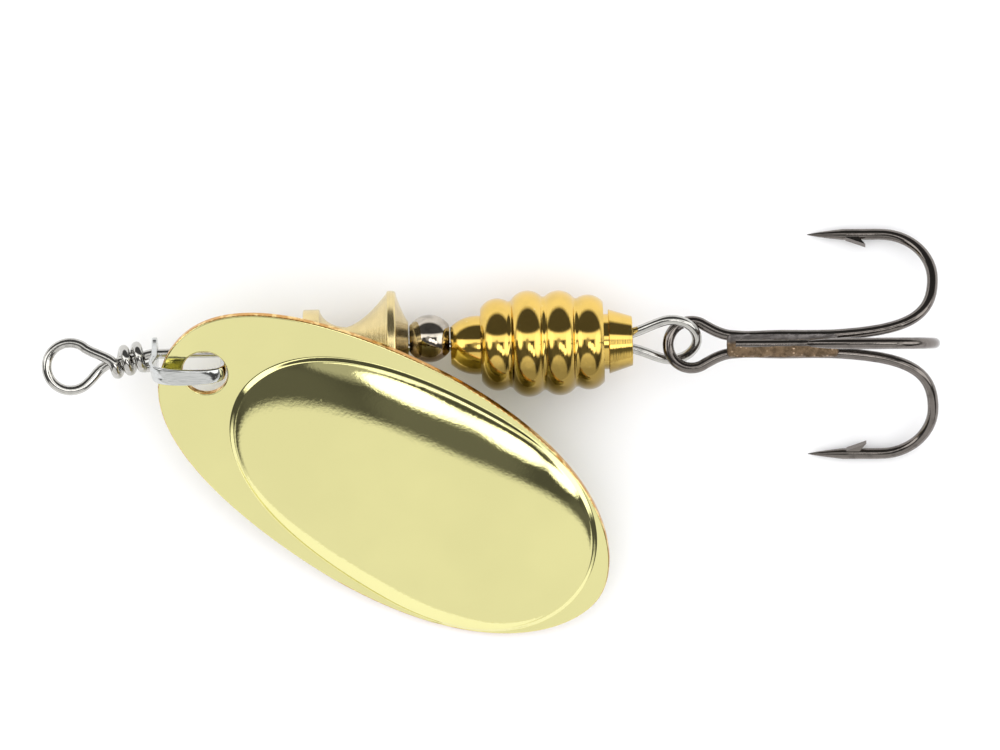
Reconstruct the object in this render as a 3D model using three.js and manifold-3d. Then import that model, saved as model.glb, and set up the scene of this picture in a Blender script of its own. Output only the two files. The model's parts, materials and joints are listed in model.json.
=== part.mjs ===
// An inline spinner: a fishing lure strung on one stiff wire.
//
// Frame: millimetres. +X runs along the shaft from the line-tie eye to the hook, and +Z is up,
// away from the surface that the lure lies on. The origin is on the shaft axis, in the middle of
// the line-tie eye. The lure lies on its bell, its blade edge and its two lower hook bends.

import * as THREE from 'three';
import { mergeVertices } from 'three/addons/utils/BufferGeometryUtils.js';
import Module from 'manifold-3d';

const wasm = await Module();
wasm.setup();

const degrees = THREE.MathUtils.degToRad;
const rodSides = 10; // sides of the round wires
const turnedSegments = 40; // segments round the bell and the body

// ---------------------------------------------------------------- driving dimensions

const runningGap = 0.2; // radial gap between the wire and whatever turns on it
const endGap = 0.12; // smallest gap along the shaft between two neighbours

const wire = {
  diameter: 0.9,
  eyeRadius: 2.14, // line-tie eye, to the middle of the wire
  eyeDrop: 0.92, // how far the eye's middle hangs off the shaft axis
  neckLength: 4.14, // bent stretch of shaft inside the wraps
  wrapTurns: 2.25,
  wrapPitch: 1.15,
  wrapTail: 0.74, // straight end of the wrapped wire
  loopTilt: 40, // degrees that the rear loop's plane is turned about the shaft
};

const clevis = {
  halfSpan: 3.13, // from the middle of the clevis to the middle of each leg
  bowHeight: 1.75, // rise of the bow over the blade's swing axis
  bowSquareness: 2.5, // 2 is an ellipse, more is squarer
  thickness: 0.5,
  width: 1.36,
  edgeRound: 0.18,
  earRadius: 1.5,
  pivotHeight: 3.9, // from the shaft axis to the axis that the blade swings on
  legInset: 0.16, // rear leg in front of the hole's rear edge
  lean: 24.0, // degrees that the clevis leans over at rest
};

const blade = {
  length: 45.0,
  halfWidth: 11.5,
  widestAt: 23.8,
  thickness: 0.8,
  holeRadius: 2.03,
  holeFromTip: 3.74,
  frontMargin: 2.26, // sheet in front of the hole, between the legs of the clevis
  yaw: 32.2, // degrees between the blade's long axis and the shaft, in the blade's plane
  domeStart: 7.25,
  domeEndMargin: 1.65, // from the dome's far end to the tail
  domeHalfWidth: 10.64,
  domeWidestAt: 28.6,
  domeHeight: 2.3,
  stepHeight: 0.32,
  stepWidth: 0.4,
};

const bearing = { radius: 2.0, endRadius: 1.25, length: 3.4, play: 0.9 };

const bell = {
  play: 2.6, // free shaft between the bearing bead and the bell
  length: 9.4,
  frontRadius: 3.6,
  frontRim: 1.5,
  waistRadius: 1.95,
  waistAt: 3.9,
  rimRadius: 5.1,
  rimAt: 7.95,
  rimWidth: 0.85,
  rearRadius: 2.3,
};

const ball = { radius: 2.15, boreGap: 0.05, offset: 0.7 };

const body = {
  bulbRadius: 2.66,
  bulbHalfLength: 3.1,
  bulbMiddle: 2.4,
  ribRound: 1.75, // radius of each rib's rounded crest, in section
  ribs: [
    { at: 4.23, radius: 4.16 },
    { at: 6.98, radius: 4.79 },
    { at: 9.77, radius: 4.73 },
    { at: 12.39, radius: 4.28 },
  ],
  firstRibStart: 2.72,
  lastRibEnd: 13.75,
  grooveRadius: 2.5,
  grooveWidth: 0.45,
  tailLength: 2.15,
  tailRadiusFront: 2.89,
  tailRadiusRear: 2.24,
  pocketDepth: 2.05, // wide part of the tail's bore, which hides the wire's end
  pocketTaper: 2.2,
};

const hook = {
  wireDiameter: 1.0,
  strandOffset: 0.8, // each shank strand of the double hook, from the middle
  axisRise: 0.46, // hook axis above the plane of the double hook's eye
  singleRise: 0.6, // single hook's shank above the hook axis
  shankStart: 3.6,
  shankEnd: 12.5,
  bendMiddle: 17.0, // middle of the bend's upper arc, from the eye
  bendRadius: 4.72,
  gape: 11.47, // from the hook axis to the point's middle
  pointEnd: 10.4,
  taper: 3.2,
  barbAt: 14.0,
  barbLength: 1.7,
  barbHeight: 0.7,
  barbWidth: 0.6,
  pitch: 2.75, // degrees that the shank climbs from the eye to the bends at rest
  sideways: 1.3, // degrees that the shank turns aside at rest
  solderGap: 0.06,
  solderRadius: 1.08,
  solderInset: 0.3, // bare shank between the eye and the solder
};

// ---------------------------------------------------------------- stations along the shaft

const wireRadius = wire.diameter / 2;
const boreRadius = wireRadius + runningGap;

// The rear loop and the hook's eye pass through each other, so they grow with both wires.
const linkSize = (wire.diameter + hook.wireDiameter) / 1.9;
const loopRadius = 2.3 * linkSize; // to the middle of the wire
const loopReach = 3.5 * linkSize; // from the body's tail to the middle of the loop's round end
const eyeRadius = 2.1 * linkSize;
const eyeSlack = 0.5 * linkSize; // how far the hook's eye sits in from the loop's end
const eyeAside = -0.5 * linkSize;

const wrapRadius = wire.diameter + 0.12;
const crossingX = 3.2; // where the eye's two strands cross
const neckEndX = crossingX + wire.neckLength;
const clevisHalfLength = clevis.halfSpan + clevis.thickness / 2;
const clevisX = neckEndX + endGap + clevisHalfLength;
const holeX = clevisX + clevisHalfLength + clevis.legInset - blade.holeRadius;
const swingX = holeX - blade.holeRadius - blade.frontMargin / 2;
const bearingX = clevisX + clevisHalfLength + bearing.play;
const bellX = bearingX + bearing.length + bell.play;
const ballBoreRadius = wireRadius + ball.offset + ball.boreGap;
const ballHalfLength = Math.sqrt(ball.radius ** 2 - ballBoreRadius ** 2);
const ballX = bellX + bell.length + endGap + ballHalfLength;
const bodyX = ballX + ballHalfLength + endGap;
const bodyLength = body.lastRibEnd + body.grooveWidth + body.tailLength;
const tailX = bodyX + bodyLength;
const loopX = tailX + loopReach;

// ---------------------------------------------------------------- helpers

function toSolid(geometry) {
  const bare = geometry.clone();
  bare.deleteAttribute('normal');
  bare.deleteAttribute('uv');
  const merged = mergeVertices(bare, 1e-5);
  return new wasm.Manifold(new wasm.Mesh({
    numProp: 3,
    vertProperties: new Float32Array(merged.attributes.position.array),
    triVerts: new Uint32Array(merged.index.array),
  }));
}

function toGeometry(solid) {
  const mesh = solid.getMesh();
  const geometry = new THREE.BufferGeometry();
  geometry.setAttribute('position', new THREE.BufferAttribute(new Float32Array(mesh.vertProperties), 3));
  geometry.setIndex(new THREE.BufferAttribute(new Uint32Array(mesh.triVerts), 1));
  geometry.computeVertexNormals();
  return geometry;
}

function addMesh(parent, name, geometry, finish) {
  const material = new THREE.MeshStandardMaterial(finish);
  const mesh = new THREE.Mesh(geometry, material);
  mesh.name = name;
  parent.add(mesh);
  return mesh;
}

function regularPolygon(radius, sides) {
  const corners = [];
  for (let i = 0; i < sides; i += 1) {
    const angle = (2 * Math.PI * i) / sides;
    corners.push(new THREE.Vector2(radius * Math.cos(angle), radius * Math.sin(angle)));
  }
  return new THREE.Shape(corners);
}

// A round rod whose middle line passes through the given points.
function rod(points, radius) {
  const path = new THREE.CatmullRomCurve3(points);
  path.getUtoTmapping = (u) => u;
  return new THREE.ExtrudeGeometry(regularPolygon(radius, rodSides), {
    steps: points.length - 1,
    extrudePath: path,
    bevelEnabled: false,
  });
}

// A turned piece about the X axis. The profile is a list of [x, radius] pairs, which is closed
// back to its start unless it starts on the axis.
function turned(profile, segments) {
  const points = profile.map(([x, radius]) => new THREE.Vector2(radius, x));
  if (points[0].x > 0) {
    points.push(points[0].clone());
  }
  const geometry = new THREE.LatheGeometry(points, segments);
  geometry.rotateZ(-Math.PI / 2);
  return geometry;
}

// Points of a cubic curve in a plane, without its first point.
function cubic(start, handleA, handleB, end, steps) {
  const curve = new THREE.CubicBezierCurve(
    new THREE.Vector2(...start),
    new THREE.Vector2(...handleA),
    new THREE.Vector2(...handleB),
    new THREE.Vector2(...end),
  );
  return curve.getPoints(steps).slice(1).map((point) => [point.x, point.y]);
}

// Points of an arc in a plane, from one angle to another in degrees.
function arc(middleX, middleY, radius, from, to, steps) {
  const points = [];
  for (let i = 0; i <= steps; i += 1) {
    const angle = degrees(from + ((to - from) * i) / steps);
    points.push([middleX + radius * Math.cos(angle), middleY + radius * Math.sin(angle)]);
  }
  return points;
}

// Angle at which a line from the given point touches a circle round the middle of the plane.
function tangentAngle(x, y, radius) {
  return THREE.MathUtils.radToDeg(Math.acos(radius / Math.hypot(x, y)));
}

// ---------------------------------------------------------------- wire shaft

// Middle of the shaft inside the wraps, where the wire bends down towards the eye.
function neck(x) {
  const bend = Math.max(0, (neckEndX - x) / wire.neckLength);
  return new THREE.Vector3(x, -wire.eyeDrop * bend, -wireRadius * bend * bend);
}

function wrapPoints() {
  const helixEnd = neckEndX - wire.wrapTail;
  const helixStart = helixEnd - wire.wrapTurns * wire.wrapPitch;
  const stepsPerTurn = 18;
  const steps = Math.round(wire.wrapTurns * stepsPerTurn);
  const points = [];
  const leadIn = 3; // steps that the eye's strand takes straight across
  for (let i = leadIn; i <= steps; i += 1) {
    const turn = (wire.wrapTurns * i) / steps;
    const angle = 2 * Math.PI * turn;
    const middle = neck(helixStart + turn * wire.wrapPitch);
    middle.y -= wrapRadius * Math.sin(angle);
    middle.z += wrapRadius * Math.cos(angle);
    points.push(middle);
  }
  const last = points[points.length - 1];
  points.push(new THREE.Vector3(neckEndX - endGap, last.y + 0.05, last.z));
  return points.reverse();
}

function eyePoints() {
  const middleX = 0.05;
  const opening = tangentAngle(crossingX - middleX, 0, wire.eyeRadius);
  const steps = 20;
  const lift = wireRadius * 0.9;
  return arc(middleX, -wire.eyeDrop, wire.eyeRadius, opening, 360 - opening, steps).map(
    ([x, y], i) => new THREE.Vector3(x, y, lift * (1 - (2 * i) / steps)),
  );
}

function loopPoints() {
  const tilt = degrees(wire.loopTilt);
  const exitOffset = wire.diameter;
  const opening = 180
    - THREE.MathUtils.radToDeg(Math.atan2(exitOffset, loopReach))
    - tangentAngle(loopReach, exitOffset, loopRadius);
  const flat = [
    [tailX - 5.2, 0],
    [tailX - 3.6, 0.06],
    [tailX - 2.4, 0.25],
    [tailX - 1.2, 0.55],
    [tailX, exitOffset],
    ...arc(loopX, 0, loopRadius, opening, -opening, 18),
    [tailX, -exitOffset],
    [tailX - 1.4, -exitOffset * 0.68],
  ];
  return flat.map(([x, across]) => new THREE.Vector3(
    x,
    across * Math.cos(tilt),
    across * Math.sin(tilt),
  ));
}

function shaftGeometry() {
  const neckSteps = 6;
  const points = [...wrapPoints(), ...eyePoints()];
  for (let i = 0; i <= neckSteps; i += 1) {
    points.push(neck(crossingX + (wire.neckLength * i) / neckSteps));
  }
  points.push(new THREE.Vector3(neckEndX + 1, 0, 0));
  points.push(...loopPoints());
  return rod(points, wireRadius);
}

// ---------------------------------------------------------------- clevis

// Middle line of the bow, from the front leg to the rear one, moved outwards by an offset.
function bowLine(offset, steps) {
  const power = 2 / clevis.bowSquareness;
  const place = (angle) => new THREE.Vector2(
    -Math.sign(Math.cos(angle)) * clevis.halfSpan * Math.abs(Math.cos(angle)) ** power,
    clevis.bowHeight * Math.sin(angle) ** power,
  );
  const points = [];
  for (let i = 0; i <= steps; i += 1) {
    const angle = (Math.PI * i) / steps;
    const nudge = 0.01;
    const before = place(Math.max(0, angle - nudge));
    const after = place(Math.min(Math.PI, angle + nudge));
    const along = after.sub(before).normalize();
    const outwards = i === 0 ? [-1, 0] : i === steps ? [1, 0] : [-along.y, along.x];
    const middle = place(angle);
    points.push([middle.x + outwards[0] * offset, middle.y + outwards[1] * offset]);
  }
  return points;
}

// The bow over the blade's front margin, with its edges rounded.
function bowGeometry() {
  const overlap = 0.3;
  const steps = 24;
  const half = clevis.thickness / 2;
  const outer = clevis.halfSpan + half;
  const inner = clevis.halfSpan - half;
  const outline = [
    [-outer, -overlap],
    ...bowLine(half, steps),
    [outer, -overlap],
    [inner, -overlap],
    ...bowLine(-half, steps).reverse(),
    [-inner, -overlap],
  ];
  const shape = new THREE.Shape(outline.map(([x, y]) => new THREE.Vector2(x, y)));
  const geometry = new THREE.ExtrudeGeometry(shape, {
    depth: clevis.width - 2 * clevis.edgeRound,
    bevelThickness: clevis.edgeRound,
    bevelSize: clevis.edgeRound,
    bevelOffset: -clevis.edgeRound,
    bevelSegments: 2,
  });
  geometry.translate(0, 0, clevis.edgeRound - clevis.width / 2);
  geometry.rotateX(Math.PI / 2);
  geometry.translate(clevisX, 0, clevis.pivotHeight);
  return geometry;
}

// One leg of the clevis with the round ear that the shaft passes through.
function earGeometry(x) {
  const halfWidth = clevis.width / 2;
  const shape = new THREE.Shape();
  shape.moveTo(-halfWidth, clevis.pivotHeight);
  shape.quadraticCurveTo(-halfWidth, clevis.earRadius, -clevis.earRadius, 0);
  shape.absarc(0, 0, clevis.earRadius, Math.PI, 2 * Math.PI, false);
  shape.quadraticCurveTo(halfWidth, clevis.earRadius, halfWidth, clevis.pivotHeight);
  const hole = new THREE.Path();
  hole.absarc(0, 0, boreRadius, 0, 2 * Math.PI, true);
  shape.holes.push(hole);
  const geometry = new THREE.ExtrudeGeometry(shape, {
    depth: clevis.thickness,
    bevelEnabled: false,
    curveSegments: 12,
  });
  geometry.rotateX(Math.PI / 2);
  geometry.rotateZ(Math.PI / 2);
  geometry.translate(x, 0, 0);
  return geometry;
}

function clevisGeometry() {
  const front = toSolid(earGeometry(clevisX - clevisHalfLength));
  const rear = toSolid(earGeometry(clevisX + clevisHalfLength - clevis.thickness));
  return toGeometry(toSolid(bowGeometry()).add(front).add(rear));
}

// ---------------------------------------------------------------- blade

// One side of an egg outline, from its front end to its rear end, as [along, across] pairs.
function eggSide(start, end, widestAt, halfWidth, handles, steps) {
  const [frontRise, frontRun, rearRun, rearRise] = handles;
  const front = cubic(
    [start, 0],
    [start, frontRise],
    [widestAt - frontRun, halfWidth],
    [widestAt, halfWidth],
    steps,
  );
  const rear = cubic(
    [widestAt, halfWidth],
    [widestAt + rearRun, halfWidth],
    [end, rearRise],
    [end, 0],
    steps,
  );
  return [[start, 0], ...front, ...rear];
}

function mirrored(side) {
  const other = side.slice(1, -1).reverse().map(([along, across]) => [along, -across]);
  return [...side, ...other];
}

function bladeRings() {
  const steps = 14;
  const outline = mirrored(
    eggSide(0, blade.length, blade.widestAt, blade.halfWidth, [11.4, 0.2, 16.0, 4.0], steps),
  );
  const foot = mirrored(
    eggSide(
      blade.domeStart,
      blade.length - blade.domeEndMargin,
      blade.domeWidestAt,
      blade.domeHalfWidth,
      [2.6, 19.5, 10.4, 5.1],
      steps,
    ),
  );
  const middle = [blade.domeWidestAt - 2.5, 0];
  const shrink = (share) => foot.map(([along, across]) => [
    middle[0] + (along - middle[0]) * share,
    middle[1] + (across - middle[1]) * share,
  ]);
  const stepShare = 1 - blade.stepWidth / blade.domeHalfWidth;
  const rings = [
    { points: outline, height: 0 },
    { points: foot, height: 0 },
    { points: shrink(stepShare), height: blade.stepHeight },
  ];
  for (const share of [0.86, 0.72, 0.56, 0.38, 0.19]) {
    const rise = Math.sqrt(1 - (share / stepShare) ** 2);
    const height = blade.stepHeight + (blade.domeHeight - blade.stepHeight) * rise;
    rings.push({ points: shrink(share), height });
  }
  return { rings, middle };
}

// A pressed sheet: rings of points from the outline to the middle, and the same again below.
function pressedSheet(rings, middle, height, thickness) {
  const positions = [];
  const indices = [];
  const count = rings[0].points.length;
  for (const drop of [0, thickness]) {
    for (const ring of rings) {
      for (const [along, across] of ring.points) {
        positions.push(along, across, ring.height - drop);
      }
    }
    positions.push(middle[0], middle[1], height - drop);
  }
  const perSide = rings.length * count + 1;
  const quad = (a, b, c, d) => indices.push(a, b, c, a, c, d);
  for (let j = 0; j < count; j += 1) {
    const k = (j + 1) % count;
    for (let i = 0; i < rings.length - 1; i += 1) {
      const outer = i * count;
      const inner = outer + count;
      quad(inner + j, inner + k, outer + k, outer + j);
      quad(perSide + outer + j, perSide + outer + k, perSide + inner + k, perSide + inner + j);
    }
    const last = (rings.length - 1) * count;
    indices.push(perSide - 1, last + k, last + j);
    indices.push(2 * perSide - 1, perSide + last + j, perSide + last + k);
    quad(j, k, perSide + k, perSide + j);
  }
  const geometry = new THREE.BufferGeometry();
  geometry.setAttribute('position', new THREE.Float32BufferAttribute(positions, 3));
  geometry.setIndex(indices);
  return geometry;
}

function bladeGeometry() {
  const { rings, middle } = bladeRings();
  const sheet = pressedSheet(rings, middle, blade.domeHeight, blade.thickness);
  const drill = new THREE.CylinderGeometry(blade.holeRadius, blade.holeRadius, 4 * blade.thickness, 32);
  drill.rotateX(Math.PI / 2);
  drill.translate(blade.holeFromTip, 0, 0);
  const geometry = toGeometry(toSolid(sheet).subtract(toSolid(drill)));
  geometry.translate(0, 0, blade.thickness / 2);
  return geometry;
}

// ---------------------------------------------------------------- beads, bell and body

// A barrel bead: its side is an arc between two flat ends.
function bearingGeometry() {
  const half = bearing.length / 2;
  const bulge = bearing.radius - bearing.endRadius;
  const round = (half * half + bulge * bulge) / (2 * bulge);
  const edge = THREE.MathUtils.radToDeg(Math.asin(half / round));
  return turned([
    [-half, boreRadius],
    ...arc(0, bearing.radius - round, round, 90 + edge, 90 - edge, 8),
    [half, boreRadius],
  ], 28);
}

function bellGeometry() {
  const chamfer = 0.12;
  const profile = [
    [0, boreRadius],
    [0, bell.frontRadius - chamfer],
    [chamfer, bell.frontRadius],
    [bell.frontRim - chamfer, bell.frontRadius],
    [bell.frontRim, bell.frontRadius - chamfer],
    ...cubic(
      [bell.frontRim, bell.frontRadius - chamfer],
      [bell.frontRim + 0.3, bell.waistRadius + 0.55],
      [bell.waistAt - 1.1, bell.waistRadius],
      [bell.waistAt, bell.waistRadius],
      7,
    ),
    ...cubic(
      [bell.waistAt, bell.waistRadius],
      [bell.waistAt + 1.3, bell.waistRadius + 0.35],
      [bell.rimAt - 1.55, bell.rimRadius - 1.6],
      [bell.rimAt - bell.rimWidth / 2, bell.rimRadius - 0.22],
      8,
    ),
    [bell.rimAt - bell.rimWidth / 4, bell.rimRadius - 0.04],
    [bell.rimAt, bell.rimRadius],
    [bell.rimAt + bell.rimWidth / 4, bell.rimRadius - 0.1],
    [bell.rimAt + bell.rimWidth / 2, bell.rimRadius - 0.45],
    [bell.length, bell.rearRadius],
    [bell.length, boreRadius],
  ];
  return turned(profile, turnedSegments);
}

function ballGeometry() {
  const edge = THREE.MathUtils.radToDeg(Math.asin(ballBoreRadius / ball.radius));
  return turned(arc(0, 0, ball.radius, 180 - edge, edge, 16), 32);
}

// The crests of the ribs are arcs that meet in the grooves between them.
function ribProfile() {
  const points = [];
  body.ribs.forEach((rib, i) => {
    const middle = rib.radius - body.ribRound;
    const before = body.ribs[i - 1];
    const after = body.ribs[i + 1];
    const start = before ? (before.at + rib.at) / 2 : body.firstRibStart;
    const end = after ? (after.at + rib.at) / 2 : body.lastRibEnd;
    const from = Math.asin((start - rib.at) / body.ribRound);
    const to = Math.asin((end - rib.at) / body.ribRound);
    const steps = 6;
    for (let step = before ? 1 : 0; step <= steps; step += 1) {
      const angle = from + ((to - from) * step) / steps;
      points.push([
        rib.at + body.ribRound * Math.sin(angle),
        middle + body.ribRound * Math.cos(angle),
      ]);
    }
  });
  return points;
}

function bulbProfile() {
  const points = [];
  const steps = 6;
  for (let step = 0; step <= steps; step += 1) {
    const x = (body.firstRibStart * step) / steps;
    const share = (x - body.bulbMiddle) / body.bulbHalfLength;
    points.push([x, body.bulbRadius * Math.sqrt(1 - share * share)]);
  }
  return points;
}

function bodyGeometry() {
  const pocketRadius = wire.diameter * 1.5 + 0.15;
  const pocketX = bodyLength - body.pocketDepth;
  const tailStart = body.lastRibEnd + body.grooveWidth;
  const chamfer = 0.1;
  const profile = [
    [0, boreRadius],
    ...bulbProfile(),
    ...ribProfile(),
    [body.lastRibEnd, body.grooveRadius],
    [tailStart, body.grooveRadius],
    [tailStart, body.tailRadiusFront],
    [bodyLength - chamfer, body.tailRadiusRear + 0.02],
    [bodyLength, body.tailRadiusRear - chamfer],
    [bodyLength, pocketRadius],
    [pocketX, pocketRadius],
    [pocketX - body.pocketTaper, boreRadius],
  ];
  return turned(profile, turnedSegments);
}

// ---------------------------------------------------------------- treble hook

// Middle line of one bend and point, from the shank's end to the start of the taper,
// as [along, outwards] pairs from the hook axis.
function bendLine(shankRadius) {
  const extreme = hook.bendMiddle + hook.bendRadius;
  const height = hook.gape - hook.bendRadius;
  return [
    ...cubic(
      [hook.shankEnd, shankRadius],
      [extreme - 2.3, shankRadius + 0.38],
      [extreme, height - 4.0],
      [extreme, height],
      14,
    ),
    ...arc(hook.bendMiddle, height, hook.bendRadius, 0, 90, 10).slice(1),
    [hook.bendMiddle - 1.5, hook.gape],
    [hook.pointEnd + hook.taper, hook.gape],
  ];
}

// The hook's tapered point, with its barb standing off the inner side.
function pointGeometry() {
  const radius = hook.wireDiameter / 2;
  const overlap = 0.05;
  const cone = turned([
    [0, 0],
    [hook.taper * 0.45, radius * 0.62],
    [hook.taper, radius],
    [hook.taper + overlap, 0],
  ], rodSides);
  cone.translate(hook.pointEnd, 0, 0);
  return cone;
}

function barbGeometry() {
  const radius = hook.wireDiameter / 2;
  const shape = new THREE.Shape();
  shape.moveTo(hook.barbAt, -radius * 0.4);
  shape.lineTo(hook.barbAt, -radius * 0.9);
  shape.lineTo(hook.barbAt + hook.barbLength, -radius - hook.barbHeight);
  shape.lineTo(hook.barbAt + hook.barbLength * 0.55, -radius * 0.6);
  const geometry = new THREE.ExtrudeGeometry(shape, { depth: hook.barbWidth, bevelEnabled: false });
  geometry.translate(0, 0, -hook.barbWidth / 2);
  return geometry;
}

// Point and barb, moved out to the gape and turned to the bend's direction round the axis.
function pointSolid(direction) {
  const parts = [pointGeometry(), barbGeometry()].map((geometry) => {
    geometry.translate(0, hook.gape, 0);
    geometry.rotateX(direction);
    geometry.translate(0, 0, hook.axisRise);
    return toSolid(geometry);
  });
  return parts[0].add(parts[1]);
}

// Place an [along, outwards] pair in the plane of a bend. The direction is the turn from +Y.
function inBendPlane([along, outwards], direction) {
  return new THREE.Vector3(
    along,
    outwards * Math.cos(direction),
    hook.axisRise + outwards * Math.sin(direction),
  );
}

const bendDirections = { left: degrees(-30), right: degrees(210), top: degrees(90) };
const strandRadius = hook.strandOffset / Math.cos(bendDirections.left);

function doubleHookGeometry() {
  const line = bendLine(strandRadius);
  const left = line.map((pair) => inBendPlane(pair, bendDirections.left)).reverse();
  const right = line.map((pair) => inBendPlane(pair, bendDirections.right));
  const opening = tangentAngle(hook.shankStart, 0, eyeRadius);
  const flat = [
    [hook.shankEnd, hook.strandOffset],
    [(hook.shankEnd + hook.shankStart) / 2, hook.strandOffset],
    [hook.shankStart, hook.strandOffset],
    [hook.shankStart - 1.1, hook.strandOffset + 0.27],
    ...arc(0, 0, eyeRadius, opening, 360 - opening, 22),
    [hook.shankStart - 1.1, -hook.strandOffset - 0.27],
    [hook.shankStart, -hook.strandOffset],
    [(hook.shankEnd + hook.shankStart) / 2, -hook.strandOffset],
    [hook.shankEnd, -hook.strandOffset],
  ];
  const eye = flat.map(([x, y]) => new THREE.Vector3(x, y, 0));
  const wireSolid = toSolid(rod([...left, ...eye, ...right], hook.wireDiameter / 2));
  const solid = wireSolid.add(pointSolid(bendDirections.left)).add(pointSolid(bendDirections.right));
  return toGeometry(solid);
}

function singleHookGeometry() {
  const start = new THREE.Vector3(hook.shankStart + 0.4, 0, hook.axisRise + hook.singleRise);
  const end = new THREE.Vector3(hook.shankEnd, 0, hook.axisRise + hook.singleRise);
  const bend = bendLine(hook.singleRise).map((pair) => inBendPlane(pair, bendDirections.top));
  const wireSolid = toSolid(rod([start, end, ...bend], hook.wireDiameter / 2));
  return toGeometry(wireSolid.add(pointSolid(bendDirections.top)));
}

// Solder that fills the grooves between the three shanks.
function solderGeometry() {
  const length = hook.shankEnd - hook.shankStart - hook.solderInset;
  const middle = (hook.shankEnd + hook.shankStart + hook.solderInset) / 2;
  const bar = (radius, y, z, reach) => {
    const geometry = new THREE.CylinderGeometry(radius, radius, reach, 24);
    geometry.rotateZ(Math.PI / 2);
    geometry.translate(middle, y, z);
    return toSolid(geometry);
  };
  const clearRadius = hook.wireDiameter / 2 + hook.solderGap;
  const long = length + 4;
  const solid = bar(hook.solderRadius, 0, hook.axisRise, length)
    .subtract(bar(clearRadius, hook.strandOffset, 0, long))
    .subtract(bar(clearRadius, -hook.strandOffset, 0, long))
    .subtract(bar(clearRadius, 0, hook.axisRise + hook.singleRise, long));
  return toGeometry(solid);
}

// ---------------------------------------------------------------- assembly

const stainless = { color: 0xc9cbcc, roughness: 0.22, metalness: 1 };
const polishedSteel = { color: 0xb9bcbe, roughness: 0.12, metalness: 1 };
const goldPlate = { color: 0xe6dd8f, roughness: 0.1, metalness: 1 };
const turnedBrass = { color: 0xc9bd84, roughness: 0.35, metalness: 1 };
const brightBrass = { color: 0xd6b13c, roughness: 0.14, metalness: 1 };
const darkNickel = { color: 0x4b4743, roughness: 0.25, metalness: 1 };
const darkSolder = { color: 0x6a5a45, roughness: 0.6, metalness: 0.9 };

const group = new THREE.Group();

addMesh(group, 'wire_shaft', shaftGeometry(), stainless);

const leaning = new THREE.Group();
leaning.rotation.x = degrees(clevis.lean);
group.add(leaning);
addMesh(leaning, 'clevis', clevisGeometry(), stainless);

// The blade rests on the bell's rim: its underside clears the rim by a small gap.
const restGap = 0.08;
const rimReach = bellX + bell.rimAt - swingX;
const rimHeight = bell.rimRadius + restGap + blade.thickness / 2 - clevis.pivotHeight;
const bladeSlope = Math.atan2(rimHeight, rimReach);
const swinging = new THREE.Group();
swinging.position.set(swingX, 0, clevis.pivotHeight);
swinging.rotation.y = -bladeSlope;
leaning.add(swinging);
const yawed = new THREE.Group();
yawed.position.set(holeX - swingX, 0, 0);
yawed.rotation.z = -degrees(blade.yaw);
swinging.add(yawed);
const bladeMesh = addMesh(yawed, 'blade', bladeGeometry(), goldPlate);
bladeMesh.position.x = -blade.holeFromTip;

const bearingMesh = addMesh(group, 'bearing_bead', bearingGeometry(), brightBrass);
bearingMesh.position.x = bearingX + bearing.length / 2;

const bellMesh = addMesh(group, 'bell', bellGeometry(), turnedBrass);
bellMesh.position.x = bellX;

const ballMesh = addMesh(group, 'steel_bead', ballGeometry(), polishedSteel);
ballMesh.position.set(ballX, ball.offset, 0);

const bodyMesh = addMesh(group, 'ribbed_body', bodyGeometry(), brightBrass);
bodyMesh.position.x = bodyX;

const treble = new THREE.Group();
treble.position.set(loopX + loopRadius - eyeSlack, eyeAside, 0);
treble.rotation.set(0, -degrees(hook.pitch), -degrees(hook.sideways));
group.add(treble);
addMesh(treble, 'double_hook', doubleHookGeometry(), darkNickel);
addMesh(treble, 'single_hook', singleHookGeometry(), darkNickel);
addMesh(treble, 'hook_solder', solderGeometry(), darkSolder);

export default group;
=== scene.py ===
"""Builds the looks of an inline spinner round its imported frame.

Every operator makes one piece, or one group of like pieces. Pieces are modelled in millimetres,
put in their place and only then scaled to metres, so that each finished object sits at the origin.
"""

import json
import math
from bisect import bisect_right
from types import SimpleNamespace

import bpy
from bpy.props import FloatProperty, FloatVectorProperty, IntProperty, PointerProperty
from bpy.types import Operator, Panel, PropertyGroup
from mathutils import Matrix, Vector


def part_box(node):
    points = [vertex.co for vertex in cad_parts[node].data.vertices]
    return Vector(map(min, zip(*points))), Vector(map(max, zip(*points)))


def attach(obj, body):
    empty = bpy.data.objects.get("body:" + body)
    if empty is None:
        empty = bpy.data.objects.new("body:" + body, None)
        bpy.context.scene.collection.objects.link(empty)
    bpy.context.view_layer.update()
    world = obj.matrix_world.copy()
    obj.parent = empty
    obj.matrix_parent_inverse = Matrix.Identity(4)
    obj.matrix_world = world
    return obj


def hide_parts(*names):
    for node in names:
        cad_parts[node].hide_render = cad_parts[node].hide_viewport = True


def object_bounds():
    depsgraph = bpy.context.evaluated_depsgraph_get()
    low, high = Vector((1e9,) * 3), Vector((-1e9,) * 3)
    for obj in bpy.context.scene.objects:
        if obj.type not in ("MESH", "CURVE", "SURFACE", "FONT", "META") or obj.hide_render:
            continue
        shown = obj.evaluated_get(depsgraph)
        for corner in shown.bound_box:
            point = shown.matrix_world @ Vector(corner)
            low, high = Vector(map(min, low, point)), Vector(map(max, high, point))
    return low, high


bl_info = {
    "name": "Inline spinner",
    "version": (1, 0, 0),
    "blender": (4, 5, 0),
    "location": "3D View > Sidebar > Spinner",
    "description": "Fine shapes and finishes for an inline spinner on its frame",
    "category": "Object",
}

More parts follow.
